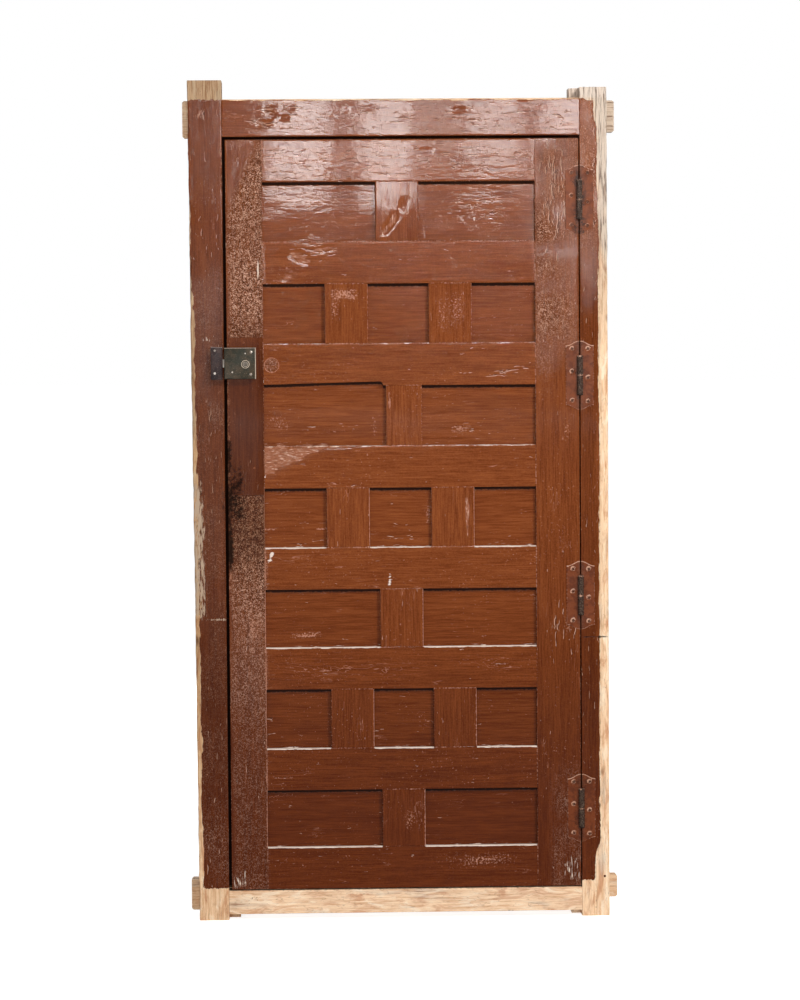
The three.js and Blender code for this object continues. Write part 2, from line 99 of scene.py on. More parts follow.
# Points in millimetres become a mesh in the frame, welded and turned outwards; fields go on as attributes
def putMesh(name, points, faces, body, material, fields=None, smoothAngle=38, weld=0.02):
    mesh = bpy.data.meshes.new(name)
    mesh.from_pydata(points * mm + leafCorner, [], faces)
    for key, values in (fields or {}).items():
        kind, entry = ("FLOAT_VECTOR", "vector") if values.ndim == 2 else ("FLOAT", "value")
        layer = mesh.attributes.new(key, kind, "POINT")
        layer.data.foreach_set(entry, values.astype(np.float32).ravel())
    work = bmesh.new()
    work.from_mesh(mesh)
    bmesh.ops.remove_doubles(work, verts=work.verts, dist=weld * mm)
    bmesh.ops.dissolve_degenerate(work, edges=work.edges, dist=mm * mm)
    bmesh.ops.recalc_face_normals(work, faces=work.faces)
    work.to_mesh(mesh)
    work.free()
    smoothFaces(mesh)
    mesh.set_sharp_from_angle(angle=math.radians(smoothAngle))
    mesh.materials.append(material)
    piece = addObject(name, mesh)
    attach(piece, body)
    return piece


# Quads between the rows of a grid of points, joined round when wrap is set
def gridFaces(rows, columns, wrap=False):
    across = columns if wrap else columns - 1
    i, j = np.meshgrid(np.arange(rows - 1), np.arange(across), indexing="ij")
    k = (j + 1) % columns
    near, far = i * columns, (i + 1) * columns
    return np.stack([near + j, near + k, far + k, far + j], -1).reshape(-1, 4)


# Camera, where the photograph was taken from

camera = {"place": (-0.2518, -8.0, 1.4609), "yaw": -1.772, "pitch": -3.242, "roll": -0.405, "lens": 120.05}


def makeCamera():
    lens = bpy.data.cameras.new("camera")
    lens.lens = camera["lens"]
    lens.sensor_width = 36
    view = addObject("camera", lens)
    turns = (("Z", camera["yaw"]), ("X", 90 + camera["pitch"]), ("Z", camera["roll"]))
    yaw, pitch, roll = (Matrix.Rotation(math.radians(degrees), 4, axis) for axis, degrees in turns)
    view.matrix_world = Matrix.Translation(camera["place"]) @ yaw @ pitch @ roll
    bpy.context.scene.camera = view


# A value in a shader tree. A sum with it adds the node that works the sum out

class Value:
    def __init__(self, socket):
        self.socket = socket
        self.tree = socket.id_data

    def __add__(self, other):
        return maths("ADD", self, other)

    def __sub__(self, other):
        return maths("SUBTRACT", self, other)

    def __mul__(self, other):
        return maths("MULTIPLY", self, other)

    def most(self, other):
        return maths("MAXIMUM", self, other)


def addNode(tree, kind, **settings):
    made = tree.nodes.new("ShaderNode" + kind)
    for key, value in settings.items():
        setattr(made, key, value)
    return made


def feed(node, given):
    for key, value in given.items():
        socket = node.inputs[key]
        if isinstance(value, Value):
            value.tree.links.new(value.socket, socket)
        elif socket.type == "RGBA":
            socket.default_value = (*value, 1)
        else:
            socket.default_value = value


# The outputs of a node that is fed with values, by the names or places of its inputs
def outputsOf(kind, given, **settings):
    tree = next(value.tree for value in given.values() if isinstance(value, Value))
    made = addNode(tree, kind, **settings)
    feed(made, given)
    return [Value(socket) for socket in made.outputs]


def maths(operation, *values, clamp=False):
    return outputsOf("Math", dict(enumerate(values)), operation=operation, use_clamp=clamp)[0]


def blend(factor, first, second, mode="MIX"):
    given = {0: factor, 6: first, 7: second}
    return outputsOf("Mix", given, data_type="RGBA", blend_type=mode, clamp_factor=True)[2]


def mixNumbers(factor, first, second):
    return outputsOf("Mix", {0: factor, 2: first, 3: second}, data_type="FLOAT")[0]


def ease(value, low, high, toLow=0.0, toHigh=1.0):
    given = dict(enumerate((value, low, high, toLow, toHigh)))
    return outputsOf("MapRange", given, interpolation_type="SMOOTHSTEP", clamp=True)[0]


def stretched(vector, scales):
    return outputsOf("VectorMath", {0: vector, 1: scales}, operation="MULTIPLY")[0]


# Noise at a scale, or with one for each axis
def noise(vector, scale, detail=2.0, roughness=0.5, distortion=0.0):
    if isinstance(scale, tuple):
        vector, scale = stretched(vector, scale), 1
    given = {"Vector": vector, "Scale": scale, "Detail": detail, "Roughness": roughness,
             "Distortion": distortion}
    return outputsOf("TexNoise", given)[0]


def readField(tree, name, output="Fac"):
    return Value(addNode(tree, "Attribute", attribute_type="GEOMETRY", attribute_name=name).outputs[output])


def objectPlace(tree):
    return Value(addNode(tree, "TexCoord").outputs["Object"])


# Shader groups: each has a function from its inputs to its outputs

# Streaks, fine pores and wide bands that run along a board: noise stretched along the first axis
def grainParts(where):
    return {
        "Streaks": noise(where, (14, 300, 300), 5, 0.66, 0.5),
        "Pores": noise(where, (60, 1100, 1100), 3, 0.6, 0.2),
        "Bands": noise(where, (2.2, 42, 42), 3, 0.5, 0.9),
    }


# Patches where an amount from 0 to 1 outgrows a fine noise; Ragged is how much the noise counts
def chipParts(amount, where, scale, edge, ragged):
    spread = (ease(noise(where, scale, 5, 0.66, 0.3), 0.28, 0.72) - 0.5) * ragged + 0.5
    return {"Mask": ease(amount - spread, 0.0, edge)}


# Shrivelled paint: small lumps whose crests are pale, a painted highlight, and whose hollows are dark, a
# painted shade
def crinkleParts(where, amount):
    lump = noise(where, 430, 2, 0.6, 0.9) * 0.8 + noise(where, 90, 2, 0.5, 0.7) * 0.2
    crests, hollows = ease(lump, 0.52, 0.6), ease(lump, 0.495, 0.42)
    return {"Height": lump * amount, "Crests": crests * amount, "Hollows": hollows * amount}


# Thin pale scratches: the crest of a stretched noise, kept where a coarse noise or the amount is high
def scratchParts(where, amount):
    crest = maths("ABSOLUTE", noise(where, (9, 60, 60), 2, 0.5, 1.4) - 0.5)
    rare = ease(noise(where, (11, 26, 26)), 0.6, 0.7)
    return {"Mask": ease(crest, 0.009, 0.0) * rare.most(amount)}


# Small cracks along the grain, darkened as painted shade, and the lit lip below each, a painted highlight:
# peaks of a stretched noise, more of them where the amount is high
def nickParts(where, amount):
    above = outputsOf("VectorMath", {0: where, 1: (0.0, 0.0016, 0.0)}, operation="ADD")[0]
    peaks = [noise(place, (38, 210, 210), 2, 0.5, 0.9) for place in (where, above)]
    masks = [ease(peak + amount * 0.2, 0.73, 0.79) for peak in peaks]
    return {"Mask": masks[0], "Lip": maths("SUBTRACT", masks[1], masks[0], clamp=True)}


# A multiplier that also makes what it darkens redder: the tone, raised to a higher power in green and blue
def deepenParts(tone):
    channels = {place: maths("POWER", tone, power) for place, power in enumerate((1.0, 1.25, 1.6))}
    return {"Color": outputsOf("CombineColor", channels)[0]}


groupKinds = {
    "grain": (grainParts, ("Place",)),
    "chips": (chipParts, ("Amount", "Place", "Scale", "Edge", "Ragged")),
    "crinkle": (crinkleParts, ("Place", "Amount")),
    "scratches": (scratchParts, ("Place", "Amount")),
    "nicks": (nickParts, ("Place", "Amount")),
    "deepen": (deepenParts, ("Tone",)),
}


def makeGroups():
    for name, (parts, inputs) in groupKinds.items():
        tree = bpy.data.node_groups.new(name, "ShaderNodeTree")
        for key in inputs:
            kind = "NodeSocketVector" if key == "Place" else "NodeSocketFloat"
            tree.interface.new_socket(key, in_out="INPUT", socket_type=kind)
        given = tree.nodes.new("NodeGroupInput")
        results = parts(*(Value(given.outputs[key]) for key in inputs))
        for key in results:
            kind = "NodeSocketColor" if key == "Color" else "NodeSocketFloat"
            tree.interface.new_socket(key, in_out="OUTPUT", socket_type=kind)
        feed(tree.nodes.new("NodeGroupOutput"), results)


def useGroup(name, **given):
    outputs = outputsOf("Group", given, node_tree=bpy.data.node_groups[name])
    return {value.socket.name: value for value in outputs}


def chips(field, where, scale, edge, ragged):
    amount = readField(where.tree, field)
    return useGroup("chips", Amount=amount, Place=where, Scale=scale, Edge=edge, Ragged=ragged)["Mask"]


# A colour as it shows on a screen, from 0 to 255, as the linear value that a shader takes
def srgb(red, green, blue):
    shown = np.array([red, green, blue]) / 255
    return tuple(np.where(shown <= 0.04045, shown / 12.92, ((shown + 0.055) / 1.055) ** 2.4).tolist())


paint = {
    "light": srgb(141, 77, 38),
    "dark": srgb(100, 45, 16),
    "lowTint": (0.55, 0.43, 0.30),  # what the foot of the door keeps of the colour
    "lowFrom": 1.02,  # metres above the floor
    "lowTo": 0.22,
    # the pale of painted highlights on crinkle crests and on the lips of cracks
    "crest": srgb(226, 188, 168),
    "rubbed": srgb(190, 138, 116),
    "nicked": srgb(78, 40, 24),
    "torn": srgb(150, 94, 68),
    "splinter": srgb(224, 188, 168),
    "dust": srgb(230, 214, 202),
    # soot, and also the colour of painted shade: in the gaps round the leaf, under the rails, in crinkle
    # hollows and round the knuckles
    "soot": srgb(20, 17, 15),
    "roughness": 0.035,
    "specular": 0.06,
}
pine = {
    "early": srgb(247, 217, 182),
    "late": srgb(214, 164, 122),
    "pale": srgb(253, 236, 212),
    "stain": srgb(194, 132, 92),
    "weathered": srgb(206, 190, 174),
    "weatheredDark": srgb(112, 95, 84),
    "knot": srgb(124, 80, 52),
    "roughness": 0.78,
}


def newMaterial(name):
    made = bpy.data.materials.new(name)
    made.use_nodes = True
    return made, made.node_tree, made.node_tree.nodes["Principled BSDF"]


# A colour darkened by the tone attribute
def toned(colour):
    tone = useGroup("deepen", Tone=readField(colour.tree, "tone"))["Color"]
    return blend(1.0, colour, tone, "MULTIPLY")


def finishShader(shader, colour, roughness, specular, relief, strength, distance, metallic=0.0):
    bump = outputsOf("Bump", {"Height": relief, "Strength": strength, "Distance": distance})[0]
    feed(shader, {"Base Color": colour, "Roughness": roughness, "Specular IOR Level": specular,
                  "Metallic": metallic, "Normal": bump})


# Bare wood: pale early wood, tan late wood in bands, grey weathering in patches and a few knots
def pineColour(where):
    grain = useGroup("grain", Place=where)
    colour = blend(ease(grain["Streaks"], 0.4, 0.68, 0, 0.8), pine["early"], pine["late"])
    blotches = noise(where, (13, 46, 46), 4, 0.6, 1.2)
    colour = blend(ease(blotches, 0.5, 0.68, 0, 0.65), colour, pine["stain"])
    colour = blend(ease(blotches, 0.47, 0.34, 0, 0.7), colour, pine["pale"])
    patches = noise(where, (6, 30, 30), 3, 0.6, 0.4)
    grey = ease(patches, 0.52, 0.72, 0, 0.6).most(readField(where.tree, "grey"))
    silver = blend(ease(grain["Streaks"], 0.48, 0.62), pine["weathered"], pine["weatheredDark"])
    colour = blend(grey, colour, silver)
    knots = noise(where, (9, 20, 20), 1, 0.4)
    colour = blend(ease(knots, 0.7, 0.76), colour, pine["knot"])
    cracks = useGroup("scratches", Place=where, Amount=0.5)["Mask"]
    colour = blend(cracks * 0.8, colour, pine["knot"])
    return blend(ease(grain["Pores"], 0.6, 0.72, 0, 0.65), colour, pine["knot"]), grain


def paintedWoodMaterial():
    made, tree, shader = newMaterial("painted_wood")
    where, spot = readField(tree, "grain", "Vector"), objectPlace(tree)
    bareColour, grain = pineColour(where)
    # brushed paint over the grain, darker and redder towards the foot of the door
    tone = grain["Streaks"] * 0.5 + grain["Bands"] * 0.15 + noise(spot, 520, 3, 0.7) * 0.35
    colour = blend(ease(tone, 0.37, 0.63), paint["dark"], paint["light"])
    colour = blend(ease(grain["Pores"], 0.62, 0.5, 0.22, 0), colour, paint["dark"])
    height = outputsOf("SeparateXYZ", {0: spot})[2]
    colour = blend(ease(height, paint["lowFrom"], paint["lowTo"]), colour, paint["lowTint"], "MULTIPLY")
    # shrivelled and cracked paint, flecks and scratches
    crinkle = useGroup("crinkle", Place=spot, Amount=readField(tree, "crinkle"))
    nicks = useGroup("nicks", Place=where, Amount=readField(tree, "nick"))
    scratches = useGroup("scratches", Place=where, Amount=readField(tree, "scratch"))["Mask"]
    cloudy = noise(spot, 7, 3, 0.6)
    flecks = ease(noise(spot, 250, 2, 0.5, 0.6), 0.675, 0.74, 0, 0.6) * ease(cloudy, 0.45, 0.62)
    # painted light on the crinkle: dark hollows as painted shade, pale crests as painted highlight
    colour = blend(crinkle["Hollows"] * 0.7, colour, paint["soot"])
    colour = blend(crinkle["Crests"] * 0.95, colour, paint["crest"])
    # painted shade in the cracks, and a painted highlight on the lip below each
    colour = blend(nicks["Mask"] * 0.65, colour, paint["nicked"])
    colour = blend(nicks["Lip"] * 0.75, colour, paint["crest"])
    colour = blend(flecks, colour, paint["rubbed"])
    colour = blend(scratches * 0.7, colour, paint["rubbed"])
    # torn wood, rubbed edges and painted highlight on them, bare wood, soot and painted shade, and dust and
    # painted highlight, where the attributes say
    grained = stretched(where, (0.16, 1.0, 1.0))
    torn, fibres = chips("scar", grained, 110, 0.2, 0.6), noise(grained, 420, 3, 0.6, 0.4)
    splinter = blend(ease(fibres, 0.54, 0.68), paint["torn"], paint["splinter"])
    splinter = blend(ease(fibres, 0.44, 0.34, 0, 0.7), splinter, paint["nicked"])
    rubbed, bare = chips("wear", spot, 210, 0.4, 0.85), chips("bare", grained, 120, 0.02, 0.2)
    soot, dust = chips("soot", spot, 160, 0.6, 0.6), chips("pale", grained, 230, 0.3, 1.0)
    colour = blend(torn * 0.9, colour, splinter)
    colour = blend(rubbed * 0.85, colour, paint["rubbed"])
    colour = blend(bare, colour, bareColour)
    colour = blend(soot * 0.9, colour, paint["soot"])
    colour = toned(blend(dust, colour, paint["dust"]))
    matt = bare.most(dust.most(soot)).most(rubbed * 0.6)
    sheen = cloudy * 0.02 + (paint["roughness"] - 0.01) + readField(tree, "crinkle") * 0.2
    lumps = noise(where, (34, 120, 120), 1, 0.4, 0.6) * (readField(tree, "nick") * 0.26 + 0.01)
    relief = grain["Streaks"] * 0.006 + ease(grain["Pores"], 0.56, 0.66, 0.0, 0.02) + crinkle["Height"] * 1.8
    relief = relief + lumps + torn * (fibres * 1.6) - nicks["Mask"] * 1.1 - matt * 0.35
    roughness = mixNumbers(matt, sheen, pine["roughness"])
    finishShader(shader, colour, roughness, paint["specular"], relief, 0.6, 1.1 * mm)
    return made


def bareWoodMaterial():
    made, tree, shader = newMaterial("bare_pine")
    colour, grain = pineColour(readField(tree, "grain", "Vector"))
    soot = chips("soot", objectPlace(tree), 160, 0.6, 0.6)
    # soot, and painted shade in the gap under the leaf and along the sill's top edge
    colour = toned(blend(soot * 0.8, colour, paint["soot"]))
    roughness = ease(grain["Streaks"], 0.3, 0.7, 0.86, 0.66)
    finishShader(shader, colour, roughness, 0.3, grain["Streaks"] + grain["Pores"] * 0.3, 0.7, mm)
    return made


# Iron: a dark skin, brown rust in patches, pale specks, bright metal with painted highlight on edges, and
# bright metal on rings round an axis
def ironMaterial(name, colours, roughness, metallic, specular, edges=(), rings=()):
    made, tree, shader = newMaterial(name)
    spot = objectPlace(tree)
    patches, fine = noise(spot, 60, 5, 0.65, 0.4), noise(spot, 420, 4, 0.7)
    colour = blend(ease(patches, 0.4, 0.62), colours["skin"], colours["rust"])
    colour = blend(ease(fine, 0.58, 0.7, 0, colours["specks"]), colour, colours["worn"])
    places = outputsOf("SeparateXYZ", {0: spot})
    # edge bands: worn metal, and painted highlight on the sides that face the light
    for axis, near, far, front in edges:
        band = ease(places[axis] + fine * 0.0012, near, far) * ease(places[1], front + 4 * mm, front + mm)
        colour = blend(band, colour, colours["worn"])
    for x, z, radius, width in rings:
        across, up = places[0] - x, places[2] - z
        offset = maths("ABSOLUTE", maths("SQRT", across * across + up * up) - radius)
        colour = blend(ease(offset, width, width / 2), colour, colours["worn"])
    sheen = ease(fine, 0.3, 0.7, roughness - 0.12, roughness + 0.15)
    finishShader(shader, colour, sheen, specular, fine + patches, 0.5, 0.4 * mm, metallic)
    return made


# Hinges are painted over: the door's colour, with pale paint on raised rims, partly worn and partly painted
# highlight, and dark iron on the knuckles, with painted shade beside and behind them
def overpaintedMaterial():
    made, tree, shader = newMaterial("overpainted_iron")
    spot = objectPlace(tree)
    patches, fine = noise(spot, 70, 4, 0.6, 0.4), noise(spot, 380, 4, 0.7)
    colour = blend(ease(patches, 0.4, 0.65), overpaint["paint"], overpaint["thin"])
    metal = readField(tree, "metal") * ease(fine, 0.3, 0.5, 0.6, 1)
    colour = blend(metal, colour, blend(ease(fine, 0.45, 0.66), overpaint["iron"], overpaint["ironWorn"]))
    colour = blend(chips("wear", spot, 260, 0.4, 1.0) * 0.9, colour, overpaint["rim"])
    colour = toned(blend(chips("soot", spot, 200, 0.6, 0.7) * 0.85, colour, paint["soot"]))
    sheen = ease(fine, 0.3, 0.7, 0.16, 0.36)
    finishShader(shader, colour, sheen, paint["specular"], fine + patches, 0.4, 0.4 * mm)
    return made


overpaint = {
    "paint": srgb(124, 65, 36),
    "thin": srgb(100, 50, 28),
    "iron": srgb(44, 36, 31),
    "ironWorn": srgb(118, 100, 90),
    "rim": srgb(212, 170, 148),
}

def ironColours(skin, rust, worn, specks):
    return {"skin": srgb(*skin), "rust": srgb(*rust), "worn": srgb(*worn), "specks": specks}


darkIron = ironColours((42, 43, 35), (66, 56, 44), (206, 190, 172), 0.3)
keeperIron = ironColours((44, 37, 38), (66, 52, 50), (176, 162, 156), 0.3)
paleSteel = ironColours((226, 222, 216), (190, 180, 168), (240, 238, 234), 0.5)
dullSteel = ironColours((104, 98, 90), (78, 70, 60), (190, 182, 172), 0.4)
steel = ironColours((176, 168, 160), (112, 100, 88), (226, 222, 216), 0.7)


# Marks on the paint: kind, x, z, half length, half width, turn in degrees, strength
marks = (
    ("scar", 112, 1040, 34, 26, 10, 1.9), ("scar", 160, 1046, 44, 15, 22, 1.8),
    ("scar", 196, 1056, 44, 7, 16, 1.6), ("scar", 262, 1063, 70, 3, 3, 0.9),
    ("scar", 100, 1012, 20, 14, 30, 1.5), ("scar", 176, 1516, 30, 11, -22, 0.8),
    ("scar", 231, 1536, 32, 6, 9, 0.8), ("scar", 150, 1474, 26, 22, 62, 0.55),
    ("scar", 395, 1597, 32, 9, 56, 0.95), ("scar", 424, 1640, 24, 8, 62, 0.6),
    ("scar", 572, 902, 66, 8, 88, 0.75), ("scar", 109, 1870, 16, 3, 12, 0.95),
    ("scar", 151, 1872, 15, 3, -8, 0.9), ("scar", 132, 1849, 24, 3, -10, 0.85),
    ("scar", 92, 1836, 20, 3.5, 5, 0.85), ("scar", 300, 1866, 24, 2.2, 6, 0.66),
    ("scar", 560, 1864, 32, 2, 4, 0.6), ("scar", 476, 1768, 36, 1.8, 3, 0.6),
    ("scar", 200, 1754, 30, 1.8, 0, 0.55), ("scar", 640, 1726, 32, 1.8, 2, 0.55),
    ("scar", 345, 1870, 18, 2, 6, 0.62), ("scar", 424, 1846, 26, 2, 10, 0.62),
    ("scar", 712, 1888, 14, 3, 6, 0.7), ("scar", -59, 1857, 12, 5, 70, 0.9),
    ("scar", 800, 1690, 20, 9, 40, 0.5), ("scar", 560, 1105, 34, 16, 4, 0.5),
    ("scar", 596, 1615, 52, 3, -76, 0.55), ("scar", 560, 1632, 36, 4, 34, 0.5),
    ("scar", 578, 1596, 30, 3, -48, 0.5), ("pale", 76, 1488, 34, 2.6, 92, 1.0),
    ("pale", 385, 745, 18, 3.5, 84, 0.7), ("pale", 101, 802, 15, 4, 68, 1.1),
    ("pale", 18, 22, 24, 26, 0, 0.52), ("pale", 822, 45, 22, 38, 0, 0.5),
    ("scuff", 836, 225, 12, 34, 0, 0.46), ("scuff", 590, 65, 120, 24, 0, 0.34),
    ("scuff", 440, 168, 30, 36, 0, 0.34), ("scuff", 182, 612, 46, 12, 4, 0.42),
    ("scuff", 555, 1103, 30, 14, 0, 0.4), ("scuff", 800, 820, 10, 60, 0, 0.3),
    ("scuff", 815, 640, 16, 50, 0, 0.34), ("scuff", 478, 905, 10, 40, 0, 0.36),
    ("scuff", 350, 1110, 8, 40, 0, 0.3), ("scuff", 120, 1120, 34, 30, 0, 0.28),
    ("scuff", 812, 1100, 10, 50, 0, 0.3), ("scuff", 226, 1100, 90, 8, 2, 0.26),
    ("scuff", -30, 1210, 14, 40, 0, 0.36), ("pale", -44, 1322, 18, 5, 0, 0.6),
    ("scuff", 700, 1350, 30, 6, 0, 0.3), ("scuff", 640, 1395, 40, 4, 0, 0.3),
    ("soot", 12, 950, 90, 34, 90, 1.2), ("soot", 3, 880, 130, 12, 90, 1.3),
    ("soot", 3, 1040, 60, 11, 90, 0.9), ("scuff", 100, 868, 26, 1.6, 1, 0.9),
    ("scuff", 229, 866, 18, 1.6, -4, 0.8), ("soot", 838, 1640, 66, 14, 90, 0.5),
    ("soot", 850, 1600, 50, 14, 90, 0.5), ("soot", -97, 1808, 3.5, 3.5, 0, 1.2),
    ("soot", -66, 905, 120, 9, 90, 0.75), ("soot", -60, 1700, 300, 3, 90, 0.3),
    ("soot", 850, 130, 90, 20, 90, 0.4), ("soot", 862, 120, 60, 9, 90, 0.35),
    ("scratch", 260, 530, 170, 20, 1, 1.0), ("scratch", 640, 545, 90, 16, 0, 0.7),
    ("scratch", 150, 800, 110, 24, 0, 0.6), ("scratch", 500, 1830, 300, 40, 0, 0.35),
    ("scratch", 600, 1360, 90, 50, 0, 0.35), ("scratch", 180, 1230, 60, 30, 0, 0.3),
    ("scuff", 63, 640, 20, 60, 0, 0.42), ("nick", 130, 1868, 60, 16, 4, 1.0),
    ("nick", 100, 1832, 60, 14, -6, 0.9), ("nick", 345, 1868, 60, 14, 4, 0.9),
    ("nick", 424, 1846, 60, 16, 8, 0.9), ("nick", 250, 1850, 90, 30, 0, 0.55),
    ("nick", 560, 1850, 200, 34, 0, 0.45), ("nick", 440, 1765, 70, 22, 4, 0.75),
    ("nick", 600, 1740, 160, 30, 0, 0.4), ("nick", 200, 1740, 120, 30, 0, 0.3),
    ("nick", 205, 1532, 60, 30, -12, 0.85), ("nick", 660, 1240, 60, 14, 6, 0.8),
    ("nick", 590, 1290, 90, 20, 0, 0.4), ("nick", 128, 1034, 60, 34, 6, 0.6),
    ("nick", -59, 1855, 14, 30, 70, 0.9), ("nick", 395, 1597, 40, 20, 56, 0.6),
    ("nick", 600, 1620, 60, 60, 0, 0.6), ("nick", 800, 1650, 50, 180, 0, 1.0),
    ("nick", 600, 1105, 60, 30, 0, 0.5), ("nick", 420, 850, 60, 24, 0, 0.5),
    ("nick", 240, 1110, 90, 12, 0, 0.5), ("nick", 790, 1330, 50, 60, 0, 0.5),
    ("nick", 800, 640, 40, 90, 0, 0.6), ("nick", -45, 1100, 30, 300, 0, 0.45),
    ("nick", 60, 500, 40, 300, 0, 0.4), ("scuff", 280, 1427, 40, 15, 0, 0.56),
    ("scuff", 258, 1395, 14, 40, 0, 0.36), ("scuff", 533, 1385, 44, 60, 0, 0.34),
    ("pale", -30, 652, 24, 1.8, 0, 0.9), ("soot", 880, 602, 34, 1.6, 0, 1.3),
    ("soot", -45, 1129, 30, 1.3, 0, 0.8), ("nick", 420, 1745, 360, 70, 0, 0.6),
    ("nick", 420, 1850, 420, 60, 0, 0.6), ("nick", 240, 1660, 120, 60, 0, 0.3),
)


# The strongest mark of one kind: each is an ellipse, flat along and soft across, broken up by noise
def marksOf(kind, x, z):
    total = np.zeros_like(x)
    for number, (what, markX, markZ, halfLength, halfWidth, degrees, strength) in enumerate(marks):
        if what != kind:
            continue
        turn = math.radians(degrees)
        along = ((x - markX) * math.cos(turn) + (z - markZ) * math.sin(turn)) / halfLength
        across = ((z - markZ) * math.cos(turn) - (x - markX) * math.sin(turn)) / halfWidth
        broken = 0.65 + 0.6 * ripple(number, along * 2 + 9, across * 1.3 + 5)
        total = np.maximum(total, strength * np.exp(-(along**4) - across**2) * broken)
    return total


# Attributes of a painted board: its marks, where nothing else is given
def paintFields(x, z, front, **given):
    fields = {"bare": 0.0, "crinkle": 0.0, "grey": 0.0, **given}
    for kind in ("soot", "pale", "scar", "scratch", "nick"):
        if kind not in fields:
            fields[kind] = marksOf(kind, x, z) * front
    return fields


# Wooden members: a section carried along the grain

sectionShape = {
    "arcSteps": 4,
    "nearArris": (3.6, 7.0, 11.0),
    "faceStep": 5.5,
    "backArris": 1.2,
    "stationStep": 4.5,
    "noLimit": 1e4,
}


# A pair for the low and the high side
def onSide(high, value, other=0):
    return (other, value) if high else (value, other)


# A point of a section and the amounts that move it. It sits at
# low side + share * width + offset + radius * arris + depth of a notch * notch
def sectionPoint(share=0.0, offset=0.0, depth=0.0, low=(0, 0), high=(0, 0), lowNotch=0, highNotch=0):
    return share, offset, depth, *low, *high, lowNotch, highNotch


# A face between the arcs of its two arrises
def facePoints(arcSteps, near, shares):
    arc = [(1 - math.cos(t), 1 - math.sin(t)) for t in np.linspace(0, quarterTurn, arcSteps + 1)]
    points = [sectionPoint(low=place) for place in arc] + [sectionPoint(offset=step) for step in near]
    points += [sectionPoint(share) for share in shares] + [sectionPoint(1, -step) for step in near[::-1]]
    return points + [sectionPoint(1, high=(-across, back)) for across, back in arc[::-1]]


# A notch open at the back has two corners, and a groove four
def notchCorners(notch, thickness, inward):
    if not notch:
        return []
    front, back = notch
    corners = [(front, 0), (front, inward)]
    return corners if back >= thickness else corners + [(back, inward), (back, 0)]


def sectionRows(width, thickness, lowNotch=None, highNotch=None, backPlaces=(0.8, 0.6, 0.4, 0.2)):
    near, corner = sectionShape["nearArris"], sectionShape["backArris"]
    bend = [(corner * (math.cos(t) - 1), corner * (math.sin(t) - 1)) for t in np.linspace(0, quarterTurn, 3)]
    count = max(2, round((width - 2 * near[-1]) / sectionShape["faceStep"]))
    shares = np.linspace(near[-1] / width, 1 - near[-1] / width, count + 1)[1:-1]
    lowMoved, highMoved = (int(bool(notch) and notch[1] >= thickness) for notch in (lowNotch, highNotch))
    highCorners, lowCorners = notchCorners(highNotch, thickness, -1), notchCorners(lowNotch, thickness, 1)
    points = facePoints(sectionShape["arcSteps"], near, shares)
    points += [sectionPoint(1, 0, depth, highNotch=moved) for depth, moved in highCorners]
    points += [sectionPoint(1, across, thickness + back, highNotch=-highMoved) for across, back in bend]
    points += [sectionPoint(share, 0, thickness) for share in backPlaces]
    points += [sectionPoint(0, -across, thickness + back, lowNotch=lowMoved) for across, back in bend[::-1]]
    points += [sectionPoint(0, 0, depth, lowNotch=moved) for depth, moved in lowCorners[::-1]]
    return np.array(points, float)


# One member's points, faces and attributes. A stretch is from, to, clip across, clip back, low notch and high
# notch. shape gives, for places along the grain, low side, high side and the two arris radii, and the reliefs
def boardSurface(along, stretches, rows, shape, fields, seed=1, step=None):
    far = sectionShape["noLimit"]
    places, clips, notches = [], [], []
    for start, end, across, back, lowNotch, highNotch in stretches:
        count = max(1, math.ceil(abs(end - start) / (step or sectionShape["stationStep"])))
        places.append(np.linspace(start, end, count + 1))
        clips += [(across or (-far, far)) + (back or (-far, far))] * (count + 1)
        notches += [(lowNotch, highNotch)] * (count + 1)
    a = np.concatenate(places)[:, None]
    clip, notch = np.array(clips)[:, :, None], np.array(notches)[:, :, None]
    sides = (np.broadcast_to(np.asarray(value, float), a.shape) for value in shape["sides"](a))
    low, high, lowArris, highArris = sides
    share, offset, depth, lowAcross, lowBack, highAcross, highBack, lowMoved, highMoved = rows.T
    w = low + share * (high - low) + offset + lowArris * lowAcross + highArris * highAcross
    w = w + notch[:, 0] * lowMoved + notch[:, 1] * highMoved
    d = depth + lowArris * lowBack + highArris * highBack
    if "lift" in shape:
        onFace = (depth <= joinery["grooveFront"]) * (lowMoved == 0) * (share < 1)
        w = w + np.clip(1 - (w - low) / 60, 0, 1) * onFace * shape["lift"](a)
    d = d + np.where(depth == 0, shape["relief"](a, w), 0.0)
    if "backRelief" in shape:
        d = d + np.where(depth >= depth.max(), shape["backRelief"](a, w), 0.0)
    w = np.clip(w, clip[:, 0], clip[:, 1])
    d = np.clip(d, clip[:, 2], clip[:, 3]) + shape["face"]
    a = a + np.zeros_like(w)
    x, z = (a, w) if along == "x" else (w, a)
    stations, around = w.shape
    faces = gridFaces(stations, around, wrap=True).tolist()
    faces += [list(range(around))[::-1], list(range((stations - 1) * around, stations * around))]
    drift = np.random.RandomState(seed).rand(3) * 7
    values = {"grain": np.stack([a, w, d], -1).reshape(-1, 3) * mm + drift}
    for key, value in fields(x, z, d).items():
        values[key] = np.broadcast_to(value, w.shape).reshape(-1)
    return np.stack([x, d, z], -1).reshape(-1, 3), faces, values


def joined(surfaces):
    points, faces, values, start = [], [], {}, 0
    for given, quads, fields in surfaces:
        points.append(given)
        faces += [[start + corner for corner in face] for face in quads]
        start += len(given)
        for key, value in fields.items():
            values.setdefault(key, []).append(value)
    return np.concatenate(points), faces, {key: np.concatenate(value) for key, value in values.items()}


def woodPiece(name, surfaces, body, material):
    points, faces, values = joined(surfaces)
    piece = putMesh(name + "_wood", points, faces, body, material, values)
    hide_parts(name)


